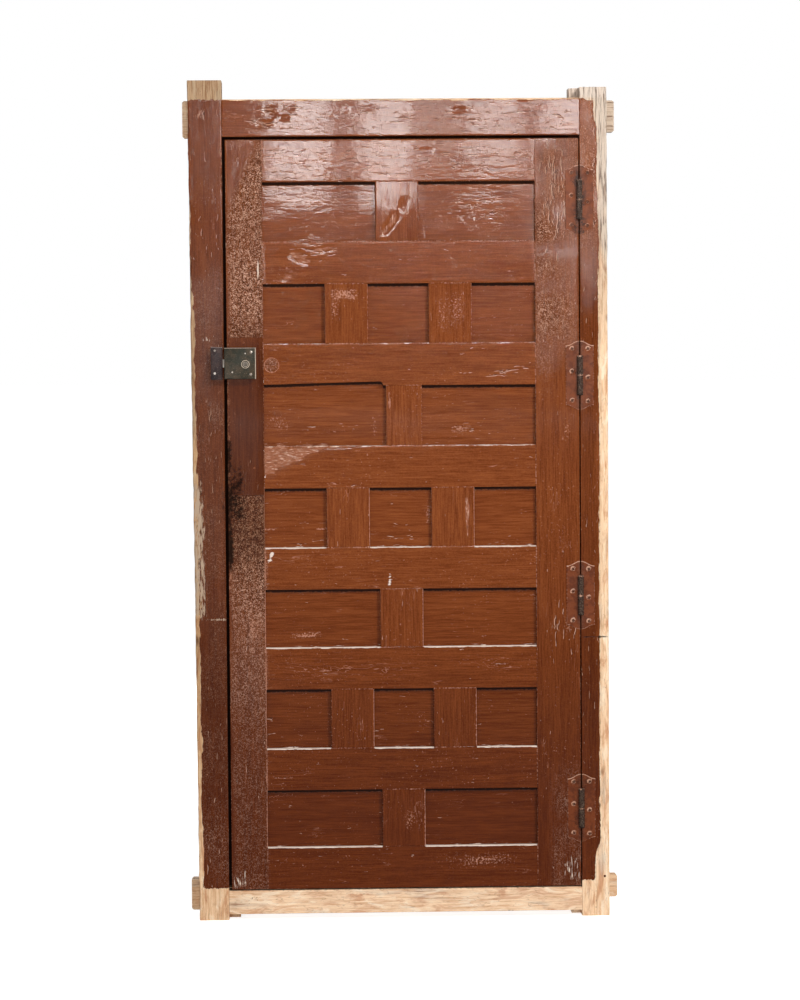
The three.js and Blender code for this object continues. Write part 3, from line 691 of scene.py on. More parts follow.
# Stretches between sorted places, each described alike or from its middle
def stretchesAt(breaks, describe):
    breaks = sorted(set(breaks))
    return [(start, end) + (describe((start + end) / 2) if callable(describe) else describe)
            for start, end in zip(breaks, breaks[1:])]


def nearEnds(start, end, step=1.2):
    return [start, start + step, start + 3 * step, end - 3 * step, end - step, end]


# Leaf: stiles, rails and muntins round seventeen panels

joinery = {
    "grooveFront": 14.0,
    "grooveBack": 26.0,
    "grooveDepth": 12.0,
    "endShoulder": 24.0,
    "gap": 0.3,
    "stub": 11.7,
    "endArris": 1.0,
    "bedDepth": 12.0,
    "shutDepth": 0.2,
    "patchInset": 0.6,
    "cutUpHeight": 9.5,
    "cutUpRadius": 9.0,
    "cutUpMargin": 6.0,
    "fieldRise": 6.0,
    "fieldBevel": 22.0,
    "panelArris": 0.3,
}

# Row by row from the top: how rubbed each side of the recesses is, and how dusty their ledges are. The pale
# lines are worn paint and dust, and also painted highlight: strongest on the bottom and left-hand edges, which
# face the light, and on the ledges of the lower rows
leafWear = {
    "bottom": (0.75, 0.8, 0.85, 1.1, 1.1, 1.1, 1.1),
    "left": (0.45, 0.6, 0.6, 1.0, 1.0, 1.0, 1.05),
    "right": (0.25, 0.3, 0.35, 0.45, 0.4, 0.45, 0.5),
    "top": (0.45, 0.35, 0.3, 0.3, 0.25, 0.2, 0.2),
    "ledge": (0.15, 0.4, 0.6, 0.95, 1.05, 1.05, 1.05),
    "ledgeReach": 2.6,
    "gouge": 1.1,
    "reach": 2.0,
    "joint": 0.62,
    "jointReach": 1.3,
    "arrisFlush": 0.35,
    "arrisOpen": 1.4,
}
plain = (None, None, 0, 0)  # a stretch that isn't clipped, and whose notches stay shut
grooved = (None, None, joinery["grooveDepth"], joinery["grooveDepth"])
groove = (joinery["grooveFront"], joinery["grooveBack"])

lockStile, hingeStile = nodeSpan("lock_stile"), nodeSpan("hinge_stile")
rails = [nodeSpan(f"rail_{number}") for number in range(1, 9)]
fieldLow, fieldHigh = lockStile[1][0], hingeStile[0][0]
leafWidth, leafThickness, leafHeight = hingeStile[1][0], lockStile[1][1], lockStile[1][2]
patchSpan = nodeSpan("lock_stile_patch")
cutUpRail = 2
rowSpans = [(rails[row + 1][1][2], rails[row][0][2]) for row in range(7)]
muntinNames = [[f"muntin_{row + 1}_{place}" for place in (1, 2)] for row in range(7)]
muntinSpans = [[nodeSpan(name) for name in names if name in nodes] for names in muntinNames]
openings = []
for row, (rowLow, rowHigh) in enumerate(rowSpans):
    edges = [fieldLow] + [side for span in muntinSpans[row] for side in (span[0][0], span[1][0])] + [fieldHigh]
    openings += [(row, edges[i], edges[i + 1], rowLow, rowHigh) for i in range(0, len(edges), 2)]


# How near a point is to the edges of the recesses: rubbed paint with painted highlight, dust with painted
# highlight on the ledges, and the open arris
def recessEdges(x, z):
    rubbed, ledge, exposed = np.zeros_like(x), np.zeros_like(x), np.zeros_like(x)
    for row, x0, x1, z0, z1 in openings:
        insideX, insideZ = between(x, x0, x1, 2), between(z, z0, z1, 2)
        sides = (("bottom", z - z0, insideX), ("top", z - z1, insideX),
                 ("left", x - x0, insideZ), ("right", x - x1, insideZ))
        for key, away, inside in sides:
            rubbed = np.maximum(rubbed, leafWear[key][row] * inside * bell(away, leafWear["reach"]))
            exposed = np.maximum(exposed, inside * bell(away, 4))
        reach = between(z, z0 - leafWear["ledgeReach"], z0 + 1.5, 1.5)
        ledge = np.maximum(ledge, leafWear["ledge"][row] * insideX * reach)
    return rubbed, ledge, exposed


# Thin rubbed lines where rails meet stiles and muntins, stronger low down beside the lock stile
def jointLines(x, z):
    reach = leafWear["jointReach"]
    near = (1 + 0.5 * smoothStep((1150 - z) / 200)) * bell(x - fieldLow, reach)
    near = np.maximum(near, bell(x - fieldHigh, reach))
    for row, ends in enumerate(rowSpans):
        inside = sum(between(x, span[0][0], span[1][0], 2) for span in muntinSpans[row])
        for edge in ends:
            near = np.maximum(near, inside * bell(z - edge, reach))
    return leafWear["joint"] * near * (0.5 + ripple(6, x / 45, z / 45))


# The lock stile is darker, most of all over its middle height, and the hinge stile a little
def leafTone(x, z):
    onLockStile, onHingeStile = between(x, -20, fieldLow, 2), between(x, fieldHigh, leafWidth + 20, 2)
    return 1 - 0.42 * onLockStile * between(z, 770, 1330, 160) - 0.15 * onLockStile - 0.13 * onHingeStile


def leafFields(x, z, d):
    front = d < joinery["grooveFront"] + 0.5
    rubbed, ledge, _ = recessEdges(x, z)
    outer = np.minimum(np.minimum(x, leafWidth - x), np.minimum(z, leafHeight - z))
    edge = 0.7 * bell(np.maximum(outer, 0), 1.8) * (0.4 + 0.6 * ripple(5, x / 40, z / 40))
    specks = between(x, -4, 7, 6) * between(z, 690, 1330, 60) * ripple(10, z / 8, x / 4)
    wear = np.maximum(np.maximum(rubbed, jointLines(x, z)) * (d < 2.5), edge * (d < 6))
    wear = np.maximum(wear, np.maximum(1.5 * marksOf("scuff", x, z), 1.1 * specks) * front)
    # shrivelled paint on the lock stile, fading low down, and in shabby patches of the hinge stile
    onPatch = between(z, patchSpan[0][2], patchSpan[1][2], 3)
    crinkle = between(x, 1 + 8 * ripple(11, z / 70, x / 40), fieldLow + 1, 14) * (1 - onPatch)
    crinkle = crinkle * (0.6 + 0.5 * ripple(7, z / 130, x / 60))
    crinkle = crinkle * smoothStep((1660 - z + 2.2 * (x - 20)) / 70 + 0.5)
    for start, height, least in ((560, 240, 0.45), (300, 200, 0.55)):
        crinkle = crinkle * (least + (1 - least) * smoothStep((z - start) / height))
    shabby = between(x, fieldHigh, leafWidth, 20) * smoothStep((z - 1130) / 300) * ripple(8, z / 90, x / 50)
    foot = between(x, fieldHigh + 40, leafWidth + 20, 40) * smoothStep((320 - z) / 120)
    foot = 0.4 * foot * ripple(9, z / 40, x / 30)
    crinkle = np.minimum(crinkle + 1.1 * shabby * ripple(12, z / 45, x / 45) + foot, 1)
    return paintFields(
        x, z, front, wear=wear, crinkle=crinkle * (d < 4), tone=leafTone(x, z),
        pale=np.maximum(marksOf("pale", x, z), ledge) * front,
        scar=marksOf("scar", x, z) * front * ((x > fieldLow + 0.6) | (z > 1400)),
        nick=np.maximum(marksOf("nick", x, z), 0.25 * shabby) * front)


# Hand-planed unevenness: long shallow hollows with shorter ones over them. Where the board's direction is
# given, its torn marks are sunk too
def planed(seed, depth=0.06, along=None):
    def relief(a, w):
        hollow = depth * (ripple(seed, a / 90, w / 34) - 0.5 + 0.3 * (ripple(seed + 40, a / 30, w / 8) - 0.5))
        hollow = hollow + depth * 0.5
        if along:
            a, w = a + 0 * w, w + 0 * a
            x, z = (a, w) if along == "x" else (w, a)
            hollow = hollow + leafWear["gouge"] * np.clip(1.4 * marksOf("scar", x, z) - 0.4, 0, 1)
        return hollow
    return relief


# Radius of the arris beside an edge: small where a joint closes it, larger and uneven where it is open
def arrisAlong(edge, axis, seed):
    def radius(a):
        x, z = (a, np.full_like(a, edge)) if axis == "x" else (np.full_like(a, edge), a)
        uneven = 0.6 + 0.9 * ripple(seed, a / 23) * ripple(seed + 9, a / 140)
        return leafWear["arrisFlush"] + leafWear["arrisOpen"] * recessEdges(x, z)[2] * uneven
    return radius


def plainArris(seed, least=1.0, most=0.9):
    return lambda a: least + most * ripple(seed, a / 31)


# The shape of a straight board, whose arrises are functions of the place along it
def straight(low, high, lowArris, highArris, relief, face=0.0, **more):
    return {"sides": lambda a: (low, high, lowArris(a), highArris(a)), "relief": relief, "face": face, **more}


def leafBoard(name, along, stretches, rows, shape, seed, material, fields=leafFields):
    surface = boardSurface(along, stretches, rows, shape, fields, seed)
    woodPiece(name, [surface], "leaf", material)


def railTenon(number):
    floor, top = rails[number][0][2], rails[number][1][2]
    low = joinery["endShoulder"] if number == len(rails) - 1 else joinery["grooveDepth"]
    high = joinery["endShoulder"] if number == 0 else joinery["grooveDepth"]
    return floor + low, top - high


# A stile is notched on its field side: the groove for the panels, deepened into a mortise at each rail
def makeStile(name, span, fieldSide, material, bed=None):
    low, high = span[0][0], span[1][0]
    onHigh = fieldSide == high
    reach = abs(rails[0][0][0] - fieldLow) + joinery["gap"]
    tenons = [railTenon(number) for number in range(len(rails))]
    grooveSpan = (rails[-1][1][2] - joinery["grooveDepth"], rails[0][0][2] + joinery["grooveDepth"])

    def describe(z):
        depth = joinery["grooveDepth"] if grooveSpan[0] < z < grooveSpan[1] else joinery["shutDepth"]
        if any(start < z < end for start, end in tenons):
            depth = reach
        cut = bed and bed[0] < z < bed[1]
        return None, ((joinery["bedDepth"], sectionShape["noLimit"]) if cut else None), *onSide(onHigh, depth)

    inset = joinery["endArris"]
    breaks = [inset, leafHeight - inset, *grooveSpan, *(bed or ())]
    breaks += [place for tenon in tenons for place in tenon]
    breaks += [place for ends in rowSpans for edge in ends for place in (edge - 2, edge + 2)]
    end = ((low + inset, high - inset), (inset, leafThickness - inset), 0, 0)
    stretches = [(0.0, 0.0) + end] + stretchesAt(breaks, describe) + [(leafHeight, leafHeight) + end]
    lowArris = plainArris(21) if onHigh else arrisAlong(fieldSide, "z", 22)
    highArris = arrisAlong(fieldSide, "z", 23) if onHigh else plainArris(24)
    rows = sectionRows(high - low, leafThickness, *onSide(onHigh, groove, None))
    shape = straight(low, high, lowArris, highArris, planed(31 + onHigh))
    leafBoard(name, "z", stretches, rows, shape, 3 + onHigh, material)


def makePatch(material):
    low, high = patchSpan
    width, thickness = high[0] - low[0], high[1] - low[1]
    inset = joinery["patchInset"]
    end = ((low[0] + inset, high[0] - inset), (inset, thickness), 0, 0)
    stretches = stretchesAt(nearEnds(low[2] + inset, high[2] - inset), plain)
    stretches = [(low[2], low[2]) + end] + stretches + [(high[2], high[2]) + end]
    shape = straight(low[0], high[0], plainArris(41, 0.8, 0.8), plainArris(42, 0.5, 0.4), planed(43, 0.05))
    leafBoard("lock_stile_patch", "z", stretches, sectionRows(width, thickness), shape, 6, material)


# A rail has a groove in each edge that meets panels, and a tenon at each end
def makeRail(number, material):
    floor, top = rails[number][0][2], rails[number][1][2]
    lowest, highest = number == len(rails) - 1, number == 0
    gap, depth = joinery["gap"], joinery["grooveDepth"]
    start, end = fieldLow + gap, fieldHigh - gap
    tenon = (railTenon(number), (groove[0] + gap, groove[1] - gap), depth, depth)
    breaks = nearEnds(start, end)
    for _, x0, x1, *_ in openings:
        breaks += [x for edge in (x0, x1) for x in (edge - 2, edge + 2) if start + 4 < x < end - 4]
    stretches = [(rails[number][0][0], start) + tenon, *stretchesAt(breaks, grooved)]
    stretches.append((end, rails[number][1][0]) + tenon)
    lowArris = plainArris(91, 1.1, 1.2) if lowest else arrisAlong(floor, "x", 50 + number)
    highArris = plainArris(90, 1.1, 0.9) if highest else arrisAlong(top, "x", 70 + number)
    rows = sectionRows(top - floor, leafThickness, None if lowest else groove, None if highest else groove)
    shape = straight(floor, top, lowArris, highArris, planed(100 + number, along="x"))
    if number == cutUpRail:
        shape["lift"] = cutUp
    leafBoard(f"rail_{number + 1}", "x", stretches, rows, shape, 10 + number, material)


# The first panel of the narrow muntin's row runs up into this rail, with a round corner beside the muntin
def cutUp(x):
    radius, height = joinery["cutUpRadius"], joinery["cutUpHeight"]
    right = muntinSpans[cutUpRail][0][0][0] - joinery["cutUpMargin"]
    along = np.clip((x - (right - radius)) / radius, 0, 1)
    sloping = height * (0.35 + 0.65 * np.clip((x - fieldLow) / (right - radius - fieldLow), 0, 1))
    rounded = sloping - radius + radius * np.sqrt(1 - along**2)
    return np.where(x < right, np.maximum(rounded, 0.0), 0.0)


def makeMuntin(row, order, material):
    low, high = muntinSpans[row][order]
    gap, depth = joinery["gap"], joinery["grooveDepth"]
    start, end = rowSpans[row][0] + gap, rowSpans[row][1] - gap
    stub = ((low[0] + depth, high[0] - depth), (groove[0] + gap, groove[1] - gap), depth, depth)
    stretches = [(start - joinery["stub"], start) + stub, *stretchesAt(nearEnds(start, end), grooved)]
    stretches.append((end, end + joinery["stub"]) + stub)
    seed = 3 * row + order
    lowArris, highArris = arrisAlong(low[0], "z", 120 + row), arrisAlong(high[0], "z", 130 + row)
    shape = straight(low[0], high[0], lowArris, highArris, planed(140 + seed, along="z"))
    rows = sectionRows(high[0] - low[0], leafThickness, groove, groove)
    leafBoard(f"muntin_{row + 1}_{order + 1}", "z", stretches, rows, shape, 30 + seed, material)


# Dust gathers along the lower edge of each panel, with painted highlight where that edge catches the light, and
# painted shade darkens the strip under the rail above it and beside the recess's right-hand side
def panelFields(x, z, d):
    reach = joinery["grooveDepth"] + 1
    low, side, top, right = (np.full_like(x, sectionShape["noLimit"]) for _ in range(4))
    for row, x0, x1, z0, z1 in openings:
        inside = (x > x0 - reach) & (x < x1 + reach) & (z > z0 - reach) & (z < z1 + reach)
        z1 = z1 + (cutUp(x) if row == cutUpRail and x0 == fieldLow else 0)
        low = np.where(inside, np.minimum(low, z - z0), low)
        side = np.where(inside, np.minimum(side, np.minimum(x - x0, x1 - x)), side)
        top = np.where(inside, np.minimum(top, z1 - z), top)
        right = np.where(inside, np.minimum(right, x1 - x), right)
    front = d < groove[0] + 2
    # painted shade: a dark strip under the rail above each recess and along its right-hand side, where the
    # light from the upper right casts shadow
    paintedShade = np.maximum(2.2 * smoothStep((8.5 - top) / 6), 0.7 * smoothStep((4 - right) / 4))
    pale = 0.4 * bell(np.maximum(low, 0), 4) * smoothStep((1300 - z) / 500)
    wear = 0.25 * bell(np.maximum(side, 0), 3) * ripple(15, z / 20, x / 20)
    wear = np.maximum(wear, 1.5 * marksOf("scuff", x, z))
    return paintFields(x, z, front, wear=wear * front, soot=paintedShade * front, tone=0.96,
                       pale=np.maximum(pale, marksOf("pale", x, z)) * front)


# A panel is flat in front and raised behind: its back steps up a bevel from a tongue round the edge
def makePanel(row, order, material):
    low, high = nodeSpan(f"panel_{row + 1}_{order + 1}")
    width = high[2] - low[2]
    margin, bevel = joinery["grooveDepth"], joinery["fieldBevel"]
    steps = [margin, margin + bevel / 2, margin + bevel]
    backPlaces = [1 - step / width for step in steps] + [0.5] + [step / width for step in steps[::-1]]

    def raised(x, z):
        edge = np.minimum(np.minimum(x - low[0], high[0] - x), np.minimum(z - low[2], high[2] - z))
        return joinery["fieldRise"] * np.clip((edge - margin) / bevel, 0, 1)

    breaks = [place for step in [0, *steps] for place in (low[0] + step, high[0] - step)]
    rows = sectionRows(width, groove[1] - joinery["gap"] - low[1], backPlaces=backPlaces)
    arris = lambda a: joinery["panelArris"]
    seed = 4 * row + order
    shape = straight(low[2], high[2], arris, arris, planed(200 + seed, 0.07, "x"), low[1], backRelief=raised)
    name = f"panel_{row + 1}_{order + 1}"
    leafBoard(name, "x", stretchesAt(breaks, plain), rows, shape, 60 + seed, material, panelFields)


def makeLeaf(material):
    bed = (patchSpan[0][2] - joinery["gap"], patchSpan[1][2] + joinery["gap"])
    makeStile("lock_stile", lockStile, fieldLow, material, bed)
    makeStile("hinge_stile", hingeStile, fieldHigh, material)
    makePatch(material)
    for number in range(len(rails)):
        makeRail(number, material)
    for row, spans in enumerate(muntinSpans):
        for order in range(len(spans)):
            makeMuntin(row, order, material)
        for order in range(len(spans) + 1):
            makePanel(row, order, material)
    print("leaf: stiles, patch, rails, muntins and panels")


# Frame: two jambs with their stops, each in two lengths, a head and a sill

jambs = {
    "rebate": 41.0,
    "lap": 180.0,
    "footWidth": 72.0,
    "topWidth": 82.0,
    "stop": 20.0,
    "sillHeight": 71.0,
    "sillDrop": 14.0,
    "lockGap": 7.0,
    "hingeGap": 2.5,
    "headGap": 7.0,
    # the bare edge of the lock jamb: heights, and how wide it is there
    "strip": ((-74, 640, 700, 1000, 1420, 1480, 1660, 1700), (11, 11, 13, 11, 9, 4, 3, -2)),
    "tenonDepth": (51.0, 85.0),
    "tenonChamfer": 4.0,
    # on the lock side, then the hinge side: the height of a tenon, and how far its top is below the member's
    "headTenons": ((88.5, 0.0), (76.0, 3.5)),
    "sillTenons": ((76.0, -22.2), (54.0, -19.5)),
}
upperLock, upperHinge = nodeSpan("lock_jamb_upper"), nodeSpan("hinge_jamb_upper")
frameDepth = nodeSpan("lock_jamb_lower")[1][1]
headTop = nodeSpan("head")[1][2]
headBottom = leafHeight + jambs["headGap"]
lockJambEdge, hingeJambEdge = -jambs["lockGap"], leafWidth + jambs["hingeGap"]
jambOuter = upperHinge[1][0]
rebate = (jambs["rebate"], frameDepth)


# The lock jamb tapers from horn to foot
def lockOuter(z):
    share = (z - floorZ) / (upperLock[1][2] - floorZ)
    return lockJambEdge - jambs["footWidth"] - (jambs["topWidth"] - jambs["footWidth"]) * share


# Painted shade in the gaps round the leaf: the rebate and stop behind the gap are darkened nearly black
def rebateShade(x, z, d):
    inGap = (x > lockJambEdge - 0.5) & (x < hingeJambEdge + 0.5) & (z < headBottom + 0.5) & (z > -3.5)
    return np.where(inGap & (d > 5) & (d < 42), 1.9, 0.0)


# How bare wood is at a distance past the edge of the paint
def bareAmount(past):
    return np.clip(0.5 + past / 24, 0, 1)


# Paint worn off the outer arris as a waney strip of bare wood, washed pale and sooty beside the leaf's middle
def lockJambFields(x, z, d):
    outer, inner, front = x - lockOuter(z), lockJambEdge - x, d < 4
    strip = np.interp(z, *jambs["strip"]) + 5 * (ripple(301, z / 70) - 0.5) + 3 * (ripple(305, z / 14) - 0.5)
    flaked = between(z, 655, 985, 60) * smoothStep((34 - outer) / 16)
    bare = np.maximum(bareAmount(strip - outer), bareAmount(z - headTop + 1))
    bare = np.maximum(np.maximum(bare, bareAmount(4 - z)), 1.0 * (outer < 1.2) * (d > 5))
    speckle = 0.9 * bell(inner, 5) * between(z, 1655, 1790, 50) * ripple(302, z / 9)
    speckle = speckle + 0.32 * bell(inner, 2.5) * ripple(304, z / 30)
    wash = 0.75 * bell(outer - 9, 12) * bell(z - 850, 130) * (0.6 + 0.6 * ripple(306, z / 50, outer / 5))
    stain = marksOf("soot", x, z) + 0.75 * bell(inner, 6) * between(z, 1655, 1790, 60)
    beside = smoothStep((outer - strip) / 2) * smoothStep((strip + 6 - outer) / 4)
    stain = stain + 0.55 * beside * smoothStep((900 - z) / 100)
    stain = np.maximum(stain, 0.55 * flaked) * front
    rings = between(z, headTop - 2, headTop + 50, 4)
    return paintFields(
        x, z, front, scratch=0.12 * front,
        wear=speckle * front + 0.4 * smoothStep((3 - outer) / 4) * front,
        bare=np.maximum(bare, 0.49 * flaked),
        soot=np.maximum(stain, rebateShade(x, z, d)),
        crinkle=0.3 * ripple(307, z / 60, x / 30) * front * smoothStep((1560 - z) / 200),
        pale=np.maximum(np.maximum(wash, 0.72 * flaked), marksOf("pale", x, z)) * front,
        nick=np.maximum(0.25, marksOf("nick", x, z)) * front,
        tone=0.76 - 0.2 * between(z, 300, 1480, 500) + 0.1 * smoothStep((300 - z) / 300) - 0.16 * rings,
        grey=np.maximum(0.45 * rings, 0.4 * between(z, 1080, 1700, 60)))


# Painted as far as a ragged edge; bare beyond it, grey and weathered at the top, fresh and yellow at the foot
def hingeJambFields(x, z, d):
    inner, front = x - hingeJambEdge, d < 4
    ragged = 42 + 2 * ripple(311, z / 90) + ripple(312, z / 14)
    ragged = ragged - 10 * smoothStep((z - 1640) / 120) * ripple(317, z / 60)
    ragged = ragged - 12 * smoothStep((115 - z) / 40)
    bare = np.maximum(bareAmount(inner - ragged), bareAmount(z - headTop + 6 * ripple(318, x / 12)))
    bare = np.maximum(np.maximum(bare, bareAmount(14 - z)), 1.0 * (inner > 65) * (d > 3))
    # the dark line along the paint's ragged edge is painted shade where the paint steps down to the bare wood
    stain = (marksOf("soot", x, z) + 0.8 * bell(inner - ragged, 3.5)) * front
    upper = smoothStep((z - 1250) / 500)
    shabby = smoothStep((z - 1300) / 400) * smoothStep((ragged - inner) / 4 + 0.5)
    tone = 0.68 + 0.34 * smoothStep((z - 1400) / 300) + 0.25 * smoothStep((500 - z) / 400) * (1 - bare)
    return paintFields(
        x, z, front, scratch=0.0, bare=bare,
        wear=0.4 * bell(inner, 2.0) * ripple(313, z / 40) * front,
        soot=np.maximum(stain * 0.8, rebateShade(x, z, d)),
        crinkle=0.4 * shabby * ripple(316, z / 50, x / 20) * front,
        scar=0.3 * shabby * ripple(319, z / 30, x / 9) * front,
        nick=np.maximum(0.2, 0.4 * shabby) * front,
        tone=tone + 0.3 * bare * (1 - upper) + 0.1 * (z > headTop),
        grey=np.minimum(1.3 * upper * bare * (0.5 + ripple(314, z / 60, inner / 12)), 1))


def headFields(x, z, d):
    top, front = headTop - z, d < 4
    beyond = (x < lockJambEdge - 4) | (x > hingeJambEdge + 4)
    bare = np.maximum(bareAmount(2.2 + 2.4 * ripple(341, x / 30) - top), 1.0 * (top < 0.6))
    wear = 0.5 * bell(z - headBottom, 2.0) * ripple(342, x / 35)
    for edge in (lockJambEdge, hingeJambEdge):
        wear = np.maximum(wear, 0.5 * bell(x - edge, 1.4))
    return paintFields(
        x, z, front, wear=wear * front, pale=0.0, tone=0.92,
        bare=np.maximum(bare, 1.0 * (d > jambs["tenonDepth"][0] - 1) * beyond),
        soot=np.maximum(marksOf("soot", x, z), rebateShade(x, z, d)),
        grey=np.where(x > hingeJambEdge, 0.9, 0.12))


def sillFields(x, z, d):
    top, bottom = floorZ + jambs["sillHeight"], floorZ + jambs["sillDrop"]
    # painted shade in the gap under the leaf and along the sill's top edge; dark stains along its foot
    shade = np.maximum(rebateShade(x, z, d), 0.6 * (d < 6) * smoothStep((z - top + 3) / 2))
    shade = np.maximum(shade, 0.75 * ripple(352, x / 60) * smoothStep((bottom + 7 - z) / 6))
    beyond = (x < lockJambEdge - 60) | (x > hingeJambEdge + 60)
    return {"soot": shade, "tone": 1.0 - 0.1 * smoothStep((120 - x) / 160) - 0.12 * beyond,
            "grey": 0.2 * ripple(351, x / 120, z / 20)}


# A jamb is two lengths, half-lapped where they meet
def makeJamb(side, sides, fields, material, seed):
    lower, upper = nodeSpan(side + "_jamb_lower"), nodeSpan(side + "_jamb_upper")
    onHigh = side == "lock"
    width = abs(sides(0.0)[1] - sides(0.0)[0])
    rows = sectionRows(width, frameDepth, *onSide(onHigh, rebate, None))
    seam, top, half = upper[0][2], upper[1][2], frameDepth / 2
    gap, inset, far = joinery["gap"], joinery["endArris"], sectionShape["noLimit"]
    notch = onSide(onHigh, -(jambs["stop"] + jambs[side + "Gap"]))
    full = (None, None, *notch)
    back, front = (None, (half + gap / 2, far), *notch), (None, (-far, half - gap / 2), *notch)
    stopTop, lapTop = (headTop if onHigh else top), seam + jambs["lap"]
    lowSide, highSide = float(np.max(sides(top)[0])), float(np.min(sides(top)[1]))
    end = ((lowSide + inset, highSide - inset), (inset, frameDepth - inset), 0, 0)
    lengths = {
        "lower": [(floorZ, floorZ + 3, *full), (floorZ + 3, seam - gap, *full),
                  (seam - gap, lower[1][2], *back)],
        "upper": [(seam, lapTop, *front), (lapTop, stopTop - inset, *full)],
    }
    if stopTop < top:
        lengths["upper"].append((stopTop, top - inset, *plain))
    lengths["upper"].append((top, top, *end))
    shape = {"sides": sides, "relief": planed(seed, 0.12), "face": 0.0}
    for name, stretches in lengths.items():
        surface = boardSurface("z", stretches, rows, shape, fields, seed)
        woodPiece(f"{side}_jamb_{name}", [surface], "frame", material)


# The waney edges of each jamb and the radii of its arrises
def lockSides(a):
    a = np.asarray(a, float)
    waney = 1.4 * ripple(321, a / 34) + 1.2 * ripple(322, a / 9) * ripple(323, a / 120)
    lowArris, highArris = 1.8 + 3.2 * ripple(324, a / 26), 0.8 + 1.4 * ripple(325, a / 17)
    return lockOuter(a) + waney, lockJambEdge, lowArris, highArris


def hingeSides(a):
    a = np.asarray(a, float)
    waney = 1.6 * ripple(331, a / 30) * smoothStep((a - 1100) / 500) + 0.5 * ripple(334, a / 12)
    lowArris, highArris = 0.7 + 0.8 * ripple(332, a / 19), 1.2 + 2.0 * ripple(333, a / 22)
    return hingeJambEdge, jambOuter - waney, lowArris, highArris


# A tenon's end beyond the jamb, with its edges planed off
def tenonSurface(x0, x1, spanZ, fields, seed):
    front, back = jambs["tenonDepth"]
    size = jambs["tenonChamfer"]
    end = ((spanZ[0] + size, spanZ[1] - size), (size * 0.4, back - front - size * 0.4), 0, 0)
    stretches = [(x0, x1 - math.copysign(size, x1 - x0), *plain), (x1, x1, *end)]
    shape = straight(*spanZ, lambda a: 1.6, lambda a: 2.4, planed(seed, 0.6), front)
    return boardSurface("x", stretches, sectionRows(spanZ[1] - spanZ[0], back - front), shape, fields, seed)


# The front runs from jamb to jamb, and the stop behind it from one jamb's stop to the other's
def makeCrossMember(name, low, high, stopEdge, fields, material, seed):
    gap, stop = joinery["gap"], jambs["stop"]
    onHigh = stopEdge > high
    rows = sectionRows(high - low, frameDepth, *onSide(onHigh, rebate, None))
    notch = onSide(onHigh, high - stopEdge if onHigh else stopEdge - low)
    front = ((low, high), (-sectionShape["noLimit"], jambs["rebate"] - gap), 0, 0)
    x0, x1, x2, x3 = lockJambEdge + gap, stop + gap, leafWidth - stop - gap, hingeJambEdge - gap
    stretches = [(x0, x0 + 2, *front), (x0 + 2, x1, *front), (x1, x2, None, None, *notch)]
    stretches += [(x2, x3 - 2, *front), (x3 - 2, x3, *front)]
    lowArris, highArris = plainArris(seed, 1.0, 1.4), plainArris(seed + 1, 1.0, 1.2)
    shape = straight(low, high, lowArris, highArris, planed(seed + 2, 0.07, "x"))
    surfaces = [boardSurface("x", stretches, rows, shape, fields, seed)]
    starts, ends = (stop + 5, leafWidth - stop - 5), (corner[0] for corner in nodeSpan(name))
    for number, (start, end, (height, drop)) in enumerate(zip(starts, ends, jambs[name + "Tenons"])):
        spanZ = (high - drop - height, high - drop)
        surfaces.append(tenonSurface(start, end, spanZ, fields, seed + 3 + number))
    woodPiece(name, surfaces, "frame", material)


def makeFrame(material, bareMaterial):
    makeJamb("lock", lockSides, lockJambFields, material, 401)
    makeJamb("hinge", hingeSides, hingeJambFields, material, 411)
    headStop = leafHeight - jambs["stop"]
    makeCrossMember("head", headBottom, headTop, headStop, headFields, material, 421)
    low, high = floorZ + jambs["sillDrop"], floorZ + jambs["sillHeight"]
    makeCrossMember("sill", low, high, jambs["stop"], sillFields, bareMaterial, 431)
    print("frame: jambs, head and sill")


# Hinges: two overpainted plates with S-shaped ends, a knuckle on each, a pin and six slotted screws

hinges = {
    "plate": (1.3, 33.3),  # from the axis to the inner and the outer edge
    "thickness": 2.5,
    "apex": 82.0,
    "corner": 71.0,
    "bend": (0.4, 0.55),  # where along the S its two controls stand
    "knuckle": 7.0,
    "knuckleLength": 47.5,
    "knuckleChamfer": 0.9,
    "slide": 0.6,
    "leafScrews": ((18, 63), (18, 9), (18, -61)),
    "jambScrews": ((20, 63), (20, -6), (20, -63)),
    "screwRadius": 4.4,
    "screwDome": 0.7,
    "screwSink": 0.7,
    "screwSlot": (0.55, 0.8),
    "step": 1.5,
    # from the top hinge down: how pale the rims are, with worn paint and painted highlight, how sooty the iron
    # is, and its tone
    "rims": (1.1, 1.9, 2.2, 2.2),
    "soot": (0.74, 0.5, 0.42, 0.55),
    "tone": (1.02, 0.9, 0.84, 0.78),
}


# How high the plate's end stands at each distance from the axis: a cubic S between two levels
def plateEnd():
    inner, outer = hinges["plate"]
    t = np.linspace(0, 1, 60)
    weights = np.stack([(1 - t) ** 3, 3 * t * (1 - t) ** 2, 3 * t**2 * (1 - t), t**3])
    first, second = (inner + (outer - inner) * share for share in hinges["bend"])
    apex, corner = hinges["apex"], hinges["corner"]
    return np.array([(inner, first, second, outer), (apex, apex, corner, corner)]) @ weights


# Points round a plate's section; like a board's, but all shares, because the plate narrows to a point
def plateRows(width, thickness):
    shares = np.linspace(0, 1, round(width / hinges["step"]) + 1)[1:-1]
    back = [sectionPoint(share, depth=thickness) for share in (1, 0.75, 0.5, 0.25, 0)]
    return np.array(facePoints(3, (), shares) + back, float)


